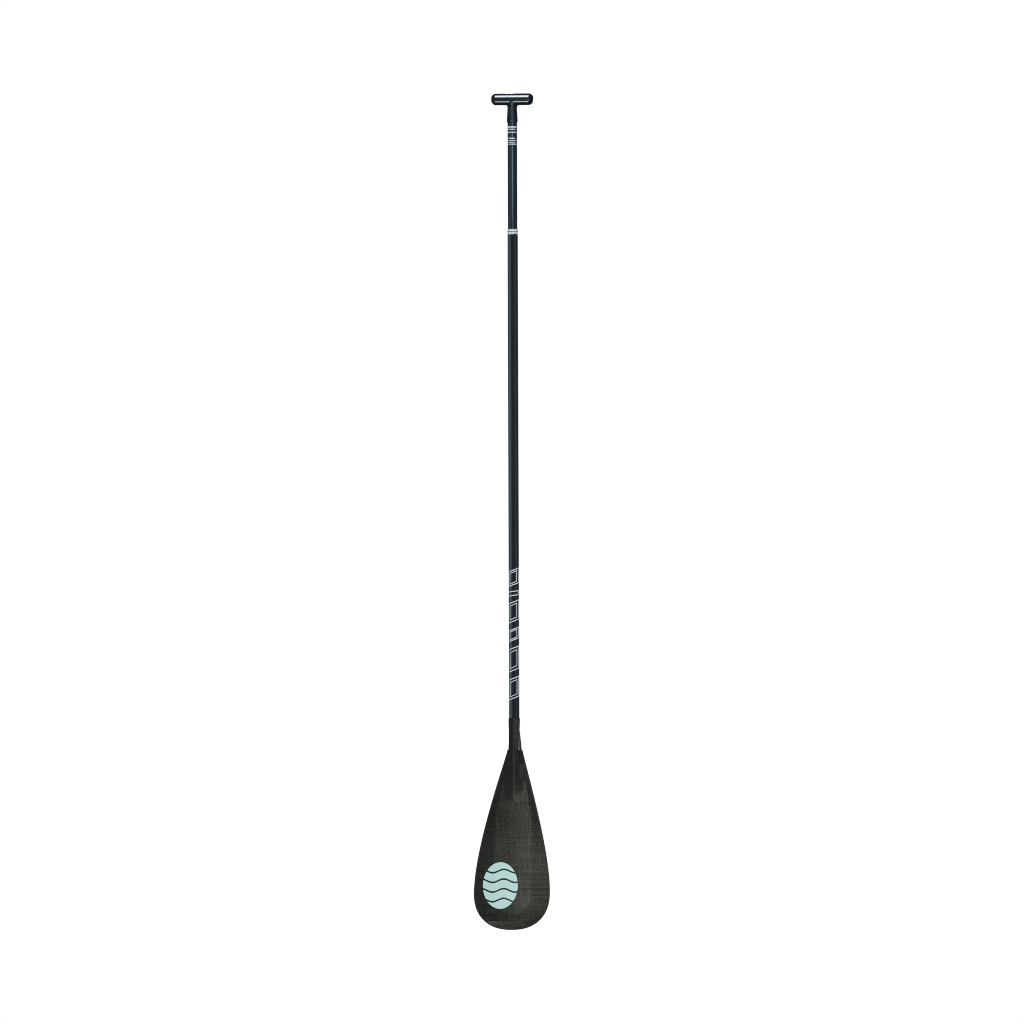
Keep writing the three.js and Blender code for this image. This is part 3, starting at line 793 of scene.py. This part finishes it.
def shaft_print():
    """A row of slanted outlines of several lengths along the back of the lower tube."""
    shape = Shape()
    place = on_tube(shaft.radius)
    reach = math.radians(68) * shaft.radius
    lengths = (50, 15, 62, 40, 70, 64)
    outer_line, inner_line, inner_size = 2.3, 1.8, (0.6, 0.72)
    gap = (print_high.z - print_low.z - sum(lengths)) / (len(lengths) - 1)
    top = print_high.z
    for length in lengths:
        slant = min(12, 0.3 * length)
        corners = np.array([
            (-reach, top - slant), (reach, top), (reach, top - length + slant), (-reach, top - length),
        ])
        add_ribbon(shape, corners, outer_line, place, closed=True)
        if length > 30:
            middle = corners.mean(axis=0)
            add_ribbon(shape, middle + (corners - middle) * inner_size, inner_line, place, closed=True)
        top -= length + gap
    return shape


def extension_print():
    """Two blocks of fine dashes under the grip: no lettering, only its rhythm."""
    shape = Shape()
    place = on_tube(tube.radius)
    dice = np.random.default_rng(7)
    # Each row: height of its middle as a share of the label, its thickness in millimetres, how far
    # round the tube it reaches in degrees, and the longest dash in millimetres.
    rows = (
        (0.86, 4.0, 66, 26.0),
        (0.76, 3.6, 46, 2.6),
        (0.635, 3.0, 64, 9.0),
        (0.385, 3.4, 44, 6.0),
        (0.295, 2.6, 66, 3.4),
        (0.215, 2.6, 44, 4.2),
        (0.14, 2.8, 66, 5.0),
    )
    for share, thick, reach_deg, longest in rows:
        z = label_low.z + share * (label_high.z - label_low.z)
        reach = math.radians(reach_deg) * tube.radius
        at = -reach
        while at < reach:
            end = min(reach, at + longest * dice.uniform(0.45, 1.0))
            if longest > 2 * reach * 0.9:  # one unbroken line
                end = reach
            add_ribbon(shape, [(at, z), (end, z)], thick, place, step=1.0, lift=0.02, thickness=0.08)
            at = end + 0.7
    return shape


def blade_print():
    """A plain badge low on the left of the blade's back: an upright ellipse cut into wavy bands."""
    low, high = box_mm("blade_decal")
    centre_x, centre_z = (low.x + high.x) / 2, (low.z + high.z) / 2
    half_width, half_height = (high.x - low.x) / 2, (high.z - low.z) / 2
    bands, gap, swell, thinnest = 5, 4.5, 4.5, 0.5
    pitch = (2 * half_height + gap) / bands
    x = half_width * np.sin(np.linspace(-np.pi / 2, np.pi / 2, 161))
    rim = half_height * np.sqrt(np.clip(1 - (x / half_width) ** 2, 0, 1))
    wave_length, phase = 1.3 * half_width, 0.6
    wave = swell * np.sin(2 * np.pi * x / wave_length + phase)
    shape = Shape()
    for i in range(bands):
        foot = i * pitch - half_height
        bottom = np.maximum(-rim, foot + (wave if i > 0 else -half_height))
        top = np.minimum(rim, foot + pitch - gap + (wave if i < bands - 1 else half_height))
        shown = np.flatnonzero(top - bottom > thinnest)
        for run in np.split(shown, np.flatnonzero(np.diff(shown) > 1) + 1):
            if len(run) < 3:
                continue
            share = np.linspace(0, 1, 7)
            z = bottom[run, None] + (top - bottom)[run, None] * share[None, :]
            flat = np.stack([np.broadcast_to(centre_x + x[run, None], z.shape), centre_z + z], axis=2)
            shape.slab(on_blade(flat, FILM_LIFT + FILM), on_blade(flat, FILM_LIFT))
    return shape


def mouth_band():
    """The white band, whose lower edge has a slanted step on the lever's side."""
    turn = np.linspace(-np.pi, np.pi, 120, endpoint=False)
    slant = np.interp(np.degrees(turn), [18, 33, 80, 120, 150], [0, -2.5, 1.5, 1.5, 0])
    bottom = band_low.z - slant
    place = on_tube(shaft.radius)
    share = np.linspace(0, 1, 4)
    flat = np.stack(np.broadcast_arrays(
        turn[:, None] * shaft.radius,
        bottom[:, None] + (band_high.z - bottom[:, None]) * share[None, :],
    ), axis=2)
    shape = Shape()
    outside, inside = 0.25, 0.04
    shape.slab(place(flat, outside), place(flat, inside), closed=True)
    return shape


# ---------------------------------------------------------------- grip and lever

def bar_distance(x, y, z, grow=0.0):
    """The T-bar: a rounded section along X that closes at each end. grow thickens it."""
    n = bar.squareness
    depth, height, end = bar.half_depth + grow, bar.half_height + grow, bar.end_length + grow
    a = np.abs(y) / depth
    b = np.abs(z - bar.centre) / height
    c = np.maximum(0, np.abs(x) - bar.straight) / end
    level = a ** n + b ** n + c ** 2
    slope = np.sqrt((n * a ** (n - 1) / depth) ** 2 + (n * b ** (n - 1) / height) ** 2 + (2 * c / end) ** 2)
    return (level - 1) / np.maximum(slope, 0.05)


stem = Sizes(rim=1557.2, flare=1562.6, waist=1590, under_bar=1608, top=1640)
stem.socket_top = tube.top + 0.3
stem.groove, stem.groove_out, stem.groove_radius = 1562.4, 14.35, 0.5
stem.fillet, stem.front_fillet = 5.5, 1
STEM_WIDTHS = ((stem.rim, 14.1), (stem.flare, 14.2), (stem.waist, 12.5), (stem.top, 12.5))
STEM_DEPTHS = (*STEM_WIDTHS[:2], (stem.waist, 15.2), (stem.under_bar, 16.1), (stem.top, 16.1))
slot = Sizes(left=-19, half_width=7.2, floor=1619.5, well_left=-11.6, well_right=9.4, well_floor=saddle_low.z)
spigot = Sizes(radius=tube.bore - 0.3, bottom=grip_low.z, bore=4.5)
notch = Sizes(x=53.5, radius=5)
FAR = 100


def grip_distance(x, y, z):
    out = np.hypot(x, y)
    half_width = np.interp(z, *zip(*STEM_WIDTHS))
    half_depth = np.interp(z, *zip(*STEM_DEPTHS))
    reach = np.hypot(x / half_width, y / half_depth)
    steepness = np.hypot(x / half_width ** 2, y / half_depth ** 2) / np.maximum(reach, 0.01)
    skirt = common((reach - 1) / np.maximum(steepness, 0.01), stem.rim - z, 0.8)
    skirt = np.maximum(skirt, z - bar.centre)
    skirt = cut(skirt, np.hypot(out - stem.groove_out, z - stem.groove) - stem.groove_radius, 0.3)
    sideways = (x / np.maximum(out, 1)) ** 2
    fillet = stem.front_fillet + (stem.fillet - stem.front_fillet) * sideways
    body = joined(bar_distance(x, y, z), skirt, fillet)
    inner = np.maximum(np.maximum(out - spigot.radius, spigot.bottom - z), z - bar.centre)
    body = np.minimum(body, inner)
    socket_outside = tube.radius + 0.3
    socket_middle = (socket_outside + spigot.radius) / 2
    socket_half = (socket_outside - spigot.radius) / 2
    socket = np.maximum(np.abs(out - socket_middle) - socket_half, z - stem.socket_top)
    body = np.maximum(body, -socket)
    opening_low = (slot.left, -slot.half_width, slot.floor)
    opening = block(x, y, z, opening_low, (FAR, slot.half_width, slot.floor + FAR))
    well_low = (slot.well_left, -slot.half_width, slot.well_floor)
    well = block(x, y, z, well_low, (slot.well_right, slot.half_width, slot.floor + FAR))
    pocket = cross_cylinder(x, y, z, notch.x, pivot + 0.5 - notch.radius, notch.radius, slot.half_width)
    body = cut(body, np.minimum(np.minimum(opening, well), pocket), 0.7)
    return cut(body, np.maximum(out - spigot.bore, z - slot.well_floor - 1), 0.4)


def grip_body(voxel):
    return surface(grip_distance, (-57, -18.5, spigot.bottom - 1.5), (57, 18.5, grip_high.z + 1.5), voxel)


lever = Sizes(half_width=6.9, open_deg=100, proud=0.5, underside=0.5, arm_start=5, hub_top=10.5, pin_hole=2.3)
lever.fork_half_width, lever.fork_top, lever.fork_reach = 3.3, 5.6, 20
cam = Sizes(radius=7.7, drop=2.5, flat=8.5, contact=8)


def hub_corners():
    """The lever's hub seen along Y, round the pin: a spiral cam below left, and a flat that stops it."""
    corners = []
    for turn in np.linspace(0, lever.open_deg, 16):
        radius = cam.radius - cam.drop * turn / lever.open_deg
        angle = math.radians(270 - turn)
        corners.append((radius * math.cos(angle), radius * math.sin(angle)))
    stop = math.radians(180 - lever.open_deg)
    corners.append((corners[-1][0] + cam.flat * math.cos(stop), corners[-1][1] + cam.flat * math.sin(stop)))
    corners.append((0, lever.hub_top))
    corners.append((lever.arm_start + 1, lever.hub_top))
    corners.append((cam.radius + 2, lever.underside + 2))
    corners.append((cam.radius, lever.underside))
    for angle in np.radians([-30, -60]):
        corners.append((cam.radius * math.cos(angle), cam.radius * math.sin(angle)))
    return corners


HUB = hub_corners()


def lever_distance(x, y, z):
    up = z - pivot
    space_low = (lever.arm_start, -lever.half_width, lever.underside)
    space = block(x, y, up, space_low, (FAR, lever.half_width, FAR))
    arm = common(bar_distance(x, y, z, lever.proud), space, 0.5)
    hub = common(polygon(x, up, HUB), np.abs(y) - lever.half_width, 0.3)
    body = np.minimum(arm, hub)
    fork_low = (-lever.fork_reach, -lever.fork_half_width, -lever.fork_reach)
    fork = block(x, y, up, fork_low, (cam.contact, lever.fork_half_width, lever.fork_top))
    body = cut(body, fork, 0.3)
    return cut(body, np.hypot(x, up) - lever.pin_hole, 0.25)


def lock_lever(voxel):
    return surface(lever_distance, (-13, -8.5, pivot - 9.5), (57.5, 8.5, grip_high.z + 2), voxel)


def cam_saddle():
    rod_hole = 3.6

    def distance(x, y, z):
        plate = block(x, y, z, saddle_low, saddle_high)
        plate = common(plate, plate, 0.3)
        return cut(plate, np.hypot(x, y) - rod_hole, 0.3)
    return surface(distance, saddle_low - Vector((1, 1, 1)), saddle_high + Vector((1, 1, 1)), 0.2)


# ---------------------------------------------------------------- lock parts on the rod

def draw_rod():
    """The rod, threaded at its foot for the nut, with an eye at its top for the lever's pin."""
    radius, eye_radius, eye_half_width = 2.5, 5.0, 3.0
    eye_foot = pivot - 8
    thread_top, pitch, depth = cone_low.z + 1, 0.8, 0.22

    def distance(x, y, z):
        eye = common(np.hypot(x, z - pivot) - eye_radius, np.abs(y) - eye_half_width, 0.5)
        shank = np.maximum(np.hypot(x, y) - radius, np.maximum(z - pivot, eye_foot - z))
        return cut(joined(eye, shank, 0.8), np.hypot(x, z - pivot) - lever.pin_hole, 0.3)

    shape = surface(distance, (-6, -4, eye_foot - 1), (6, 4, pivot + 6), 0.22)
    turns = round((thread_top - rod_low.z) / pitch)
    thread = []
    for i in range(turns):
        foot = rod_low.z + i * pitch
        thread += [(radius - depth, foot, 0), (radius, foot + pitch / 2, 0)]
    top = eye_foot + 0.6
    shank_foot = (radius, thread_top + pitch / 2, 0)
    shape.lathe([(0, rod_low.z, 0), *thread, shank_foot, (radius, top, 0), (0, top, 0)], 40)
    return shape


def lathed(profile, sides=96):
    shape = Shape()
    shape.lathe(profile, sides)
    return shape


def tube_end_plug():
    bore, journal = 3.0, 9.8
    flange_top = ring_low.z - 0.3
    inside = tube.bore - 0.1
    return lathed([
        (bore, end_low.z, 0.4), (end_high.x, end_low.z, 0.5),
        (end_high.x, flange_top, 0.4), (journal, flange_top, 0.2),
        (journal, tube.bottom, 0.2), (inside, tube.bottom, 0.3),
        (inside, end_high.z, 0.8), (bore, end_high.z, 0.6),
    ])


def glide_ring():
    """A plain bearing ring with three shallow grooves that carry grit away."""
    inner, outer = 10.1, ring_high.x
    profile = [(inner, ring_low.z, 0.4), (outer, ring_low.z, 0.5)]
    for i in range(3):
        middle = ring_low.z + (ring_high.z - ring_low.z) * (i + 1) / 4
        for radius, rise in ((outer, -0.6), (outer - 0.5, -0.3), (outer - 0.5, 0.3), (outer, 0.6)):
            profile.append((radius, middle + rise, 0.15))
    return lathed([*profile, (outer, ring_high.z, 0.5), (inner, ring_high.z, 0.4)])


def expander_bush():
    inner, mouth = 3.0, 8.0
    cone_top = bush_low.z + 0.51 * (bush_high.z - bush_low.z)
    return lathed([
        (mouth, bush_low.z, 0.5), (bush_high.x, bush_low.z, 0.8), (bush_high.x, bush_high.z, 0.8),
        (inner, bush_high.z, 0.4), (inner, cone_top, 0.4),
    ])


def pressure_cone():
    inner, mouth = 3.0, 7.7
    shoulder = bush_low.z - 0.3
    return lathed([
        (inner, cone_low.z, 0.4), (cone_high.x, cone_low.z, 0.6),
        (cone_high.x, shoulder, 0.6), (mouth, shoulder, 0.3),
        (inner + 0.5, cone_high.z, 0.15), (inner, cone_high.z, 0.1),
    ])


def rod_washer():
    hole = 2.8
    return lathed([
        (hole, washer_low.z, 0.15), (washer_high.x, washer_low.z, 0.3),
        (washer_high.x, washer_high.z, 0.3), (hole, washer_high.z, 0.15),
    ])


def lock_nut():
    middle = (nut_low.z + nut_high.z) / 2
    half_height = (nut_high.z - nut_low.z) / 2
    half_flats, hole = nut_high.x, 2.72
    chamfer_start = 1.04 * half_flats
    lean_out, lean_up = 0.5, 0.87  # a 30 degree chamfer

    def distance(x, y, z):
        up = np.abs(z - middle)
        flats = np.full(x.shape, -np.inf)
        for angle in np.radians([0, 60, 120]):
            flats = np.maximum(flats, np.abs(x * math.cos(angle) + y * math.sin(angle)) - half_flats)
        body = common(flats, up - half_height, 0.2)
        chamfer = (np.hypot(x, y) - chamfer_start) * lean_out + (up - half_height) * lean_up
        return cut(common(body, chamfer, 0.15), np.hypot(x, y) - hole, 0.2)

    return surface(distance, nut_low - Vector((1, 1, 1)), nut_high + Vector((1, 1, 1)), 0.16)


def lever_pin():
    radius, half = pin_high.z - pivot, pin_high.y
    shape = lathed([(0, -half, 0), (radius, -half, 0.5), (radius, half, 0.5), (0, half, 0)], 48)
    points = np.array(shape.points)
    shape.points = np.stack([points[:, 0], points[:, 2], pivot + points[:, 1]], axis=1).tolist()
    return shape


# ---------------------------------------------------------------- the pieces

def tube_shape(sizes):
    return lathed([
        (sizes.bore, sizes.bottom, 0.15), (sizes.radius, sizes.bottom, 0.3),
        (sizes.radius, sizes.top, 0.3), (sizes.bore, sizes.top, 0.15),
    ], 128)


def build_pieces():
    voxel = 0.45
    tow = (0.010, 0.0138, 0.019)
    lower_finish = carbon_tube("carbon_tube_lower", shaft.radius, tow, (0.023, 0.031, 0.042))
    upper_finish = carbon_tube("carbon_tube_upper", tube.radius, tow, (0.022, 0.030, 0.041))
    weave = carbon_weave("carbon_blade", (0.006, 0.0067, 0.0055), (0.046, 0.0495, 0.041))
    plastic, waxy, core = grip_plastic(), acetal(), foam()
    alloy = drawn_metal("rod_alloy", (0.45, 0.46, 0.47), (0.62, 0.63, 0.65), (900.0, 900.0, 12.0))
    steel = drawn_metal("steel", (0.4, 0.41, 0.43), (0.56, 0.57, 0.6), (120.0, 120.0, 1500.0))
    pale = printed("pale_print", (0.86, 0.9, 0.92), (0.62, 0.66, 0.69))
    mint = printed("mint_print", (0.61, 0.87, 0.81), (0.5, 0.75, 0.7))
    label = printed("label_print", (0.8, 0.86, 0.9), (0.55, 0.62, 0.67))
    skin = blade.skin
    inside = skin + blade.seam

    make_piece("main_shaft", tube_shape(shaft), lower_finish)
    make_piece("shaft_plug", lathed([
        (0, plug_low.z, 0), (shaft.bore - 0.1, plug_low.z, 0.8),
        (shaft.bore - 0.1, plug_high.z, 0.8), (0, plug_high.z, 0),
    ]), core)
    make_piece("mouth_band", mouth_band(), band_print())
    make_piece("shaft_decal", shaft_print(), pale)
    make_piece("neck_socket", neck_socket(), weave, 50)
    make_piece("blade_core", blade_layer(
        lambda x, z: back_depth(x, z) - inside, lambda x, z: inside - face_depth(x, z),
    ), core)
    make_piece("blade_back_skin", blade_layer(
        back_depth, lambda x, z: back_depth(x, z) - skin,
    ), weave)
    make_piece("blade_face_skin", blade_layer(
        lambda x, z: skin - face_depth(x, z), lambda x, z: -face_depth(x, z),
    ), weave)
    make_piece("blade_edge_rail", edge_rail(), edge_resin())
    make_piece("blade_decal", blade_print(), mint)

    make_piece("extension_tube", tube_shape(tube), upper_finish)
    make_piece("extension_label", extension_print(), label)
    make_piece("grip_body", grip_body(voxel), plastic, 60)
    make_piece("lock_lever", lock_lever(0.7 * voxel), plastic, 60)
    make_piece("cam_saddle", cam_saddle(), waxy, 60)
    make_piece("tube_end_plug", tube_end_plug(), waxy)
    make_piece("glide_ring", glide_ring(), waxy)
    make_piece("expander_bush", expander_bush(), bush_rubber())
    make_piece("pressure_cone", pressure_cone(), waxy)
    make_piece("draw_rod", draw_rod(), alloy)
    make_piece("lever_pin", lever_pin(), steel)
    make_piece("rod_washer", rod_washer(), steel)
    make_piece("lock_nut", lock_nut(), steel, 60)


# ---------------------------------------------------------------- studio

VIEW_AZIMUTH = 7.6
VIEW_ROLL = 0.19
VIEW_DISTANCE = 30.0
VIEW_HEIGHT = 2.6767
VIEW_CENTRE = (-0.0041, 0.539)
SHARP_FILTER = 1.0


def direction(azimuth_deg):
    """The level direction of an azimuth. Azimuth 0 is in front of the blade's back, at -Y."""
    angle = math.radians(azimuth_deg)
    return Vector((math.sin(angle), -math.cos(angle), 0))


def make_camera():
    back = direction(VIEW_AZIMUTH)
    right = direction(VIEW_AZIMUTH + 90)
    up = Vector((0, 0, 1))
    roll = math.radians(VIEW_ROLL)
    rolled_right = right * math.cos(roll) - up * math.sin(roll)
    rolled_up = up * math.cos(roll) + right * math.sin(roll)
    camera = bpy.data.objects.new("camera", bpy.data.cameras.new("camera"))
    bpy.context.scene.collection.objects.link(camera)
    camera.data.lens = camera.data.sensor_width * VIEW_DISTANCE / VIEW_HEIGHT
    camera.data.clip_end = 10 * VIEW_DISTANCE
    place = right * VIEW_CENTRE[0] + up * VIEW_CENTRE[1] + back * VIEW_DISTANCE
    turned = Matrix((rolled_right, rolled_up, back)).transposed().to_4x4()
    camera.matrix_world = Matrix.Translation(place) @ turned
    bpy.context.scene.camera = camera


def softbox(name, azimuth, distance, height, size, power, aim_height=None, tint=(1, 1, 1), only=()):
    """A rectangular light aimed at the shaft's axis. only: names of the objects that it lights."""
    light = bpy.data.lights.new(name, "AREA")
    light.shape = "RECTANGLE"
    light.size, light.size_y = size
    light.energy = power
    light.color = tint
    holder = bpy.data.objects.new(name, light)
    bpy.context.scene.collection.objects.link(holder)
    place = direction(azimuth) * distance + Vector((0, 0, height))
    aim = Vector((0, 0, height if aim_height is None else aim_height))
    holder.location = place
    holder.rotation_mode = "QUATERNION"
    holder.rotation_quaternion = (aim - place).to_track_quat("-Z", "Y")
    holder.visible_camera = False
    if only:
        lit = bpy.data.collections.new(name + "_lights")
        for piece in only:
            lit.objects.link(bpy.data.objects[piece])
        holder.light_linking.receiver_collection = lit


def looks(*nodes):
    """The names of the pieces that are shown for some CAD nodes."""
    return tuple(node + "_look" for node in nodes)


UPPER_TUBE = looks("extension_tube")
LOWER_TUBE = looks("main_shaft")
NECK = looks("neck_socket")
GRIP = looks("grip_body", "lock_lever")
BLADE = looks("blade_back_skin", "blade_face_skin", "blade_edge_rail")
FACE = looks("blade_face_skin")
PRINTS = looks("extension_label", "mouth_band", "shaft_decal", "blade_decal")


def make_lights():
    cool, blue, olive = (0.9, 0.96, 1.0), (0.5, 0.8, 1.0), (0.97, 1.0, 0.88)
    steely = (0.72, 0.88, 1.0)
    softbox("upper_strip", 8.8, 0.9, 1.57, (0.4, 0.46), 3.3, tint=blue, only=UPPER_TUBE)
    softbox("upper_left", -58, 1.2, 1.45, (1.3, 1.0), 1.4, tint=cool, only=UPPER_TUBE)
    softbox("left_bank", -70, 1.2, 0.72, (1.3, 2.2), 10.2, tint=steely, only=LOWER_TUBE)
    softbox("right_bank", 62, 1.2, 0.72, (1.0, 2.2), 3.0, tint=steely, only=LOWER_TUBE)
    softbox("print_fill", 7.6, 3.0, 0.5, (2.0, 2.0), 28.0, tint=cool, only=PRINTS)
    softbox("grip_top", -7.6, 0.9, 2.8, (0.86, 1.2), 36.0, 1.62, only=GRIP)
    softbox("grip_low", -7.6, 0.9, 0.82, (0.5, 0.34), 4.2, 1.62, only=GRIP)
    softbox("grip_strip", 8.5, 0.9, 1.49, (0.14, 0.25), 1.6, 1.585, tint=(0.6, 0.85, 1.0), only=GRIP)
    softbox("blade_key", -2.4, 2.4, 0.52, (0.36, 1.6), 3.6, -0.3, tint=olive, only=BLADE)
    softbox("blade_low", -4, 2.4, 0.1, (0.36, 0.4), 0.34, -0.3, tint=olive, only=BLADE)
    softbox("blade_toe", -22, 2.2, -0.78, (1.6, 0.14), 2.5, -0.5, tint=olive, only=BLADE)
    softbox("blade_band", 20, 2.4, 0.1, (1.2, 2.8), 1.5, -0.3, tint=olive, only=BLADE)
    softbox("blade_right", 62, 2.0, 0.8, (1.8, 1.4), 3.6, -0.15, tint=olive, only=BLADE)
    softbox("neck_strip", 5, 1.0, 0.0, (0.34, 0.4), 0.34, tint=cool, only=NECK)
    softbox("neck_right", 52, 1.2, -0.1, (0.8, 0.4), 0.7, tint=olive, only=NECK)
    softbox("neck_side", 126, 1.2, -0.18, (0.6, 0.3), 1.1, tint=cool, only=NECK)
    from_behind = looks(*(node for node in BODY_OF if node not in ("blade_back_skin", "neck_socket")))
    softbox("rear_left", 215, 2.5, 0.9, (0.7, 2.2), 4.0, 0.6, only=from_behind)
    softbox("rear_right", 150, 2.5, 0.9, (0.7, 2.2), 3.0, 0.6, only=from_behind)
    softbox("face_side", 138, 2.4, 0.5, (1.4, 2.4), 7.0, -0.3, tint=olive, only=FACE)
    softbox("face_key", 170, 1.3, -0.7, (2.2, 0.3), 5.0, -0.3, tint=olive, only=FACE)
    softbox("floor_fill", 0, 0.01, 3.0, (6.0, 6.0), 150.0, 0.0, only=("floor",))


def make_world():
    """White behind the object, a soft grey fill all round, and little of it in reflections."""
    world = bpy.data.worlds.new("studio")
    bpy.context.scene.world = world
    world.use_nodes = True
    nodes, links = world.node_tree.nodes, world.node_tree.links
    rays = nodes.new("ShaderNodeLightPath").outputs

    def glow(node, colour, strength):
        node.inputs["Color"].default_value = (*colour, 1)
        node.inputs["Strength"].default_value = strength
        return node.outputs[0]

    def switched(ray, otherwise, shown):
        mix = nodes.new("ShaderNodeMixShader")
        for socket, value in zip(mix.inputs, (rays[ray], otherwise, shown)):
            links.new(value, socket)
        return mix.outputs[0]

    fill = glow(nodes["Background"], (0.95, 0.98, 1.0), 0.55)
    mirrored = glow(nodes.new("ShaderNodeBackground"), (0.9, 0.96, 1.0), 0.02)
    white = glow(nodes.new("ShaderNodeBackground"), (1, 1, 1), 1.0)
    unseen = switched("Is Glossy Ray", fill, mirrored)
    links.new(switched("Is Camera Ray", unseen, white), nodes["World Output"].inputs["Surface"])
    bpy.context.scene.view_settings.view_transform = "Standard"
    bpy.context.scene.cycles.filter_width = SHARP_FILTER


def make_floor():
    """A pale round floor, low enough to stay under the photograph's frame."""
    radius, height = 2.4, -0.93
    work = bmesh.new()
    bmesh.ops.create_circle(work, cap_ends=True, segments=128, radius=radius)
    mesh = bpy.data.meshes.new("floor")
    work.to_mesh(mesh)
    work.free()
    finish = Finish("floor")
    haze = finish.noise(3.0, 2.0)
    colour = finish.mix(haze, (0.8, 0.8, 0.8), (0.84, 0.84, 0.84))
    mesh.materials.append(finish.made(colour, haze.ranged(0.3, 0.7, 0.8, 0.9)))
    floor = bpy.data.objects.new("floor", mesh)
    floor.location.z = height
    floor.visible_glossy = False
    floor.visible_diffuse = False
    bpy.context.scene.collection.objects.link(floor)


build_pieces()
make_floor()
make_camera()
make_lights()
make_world()
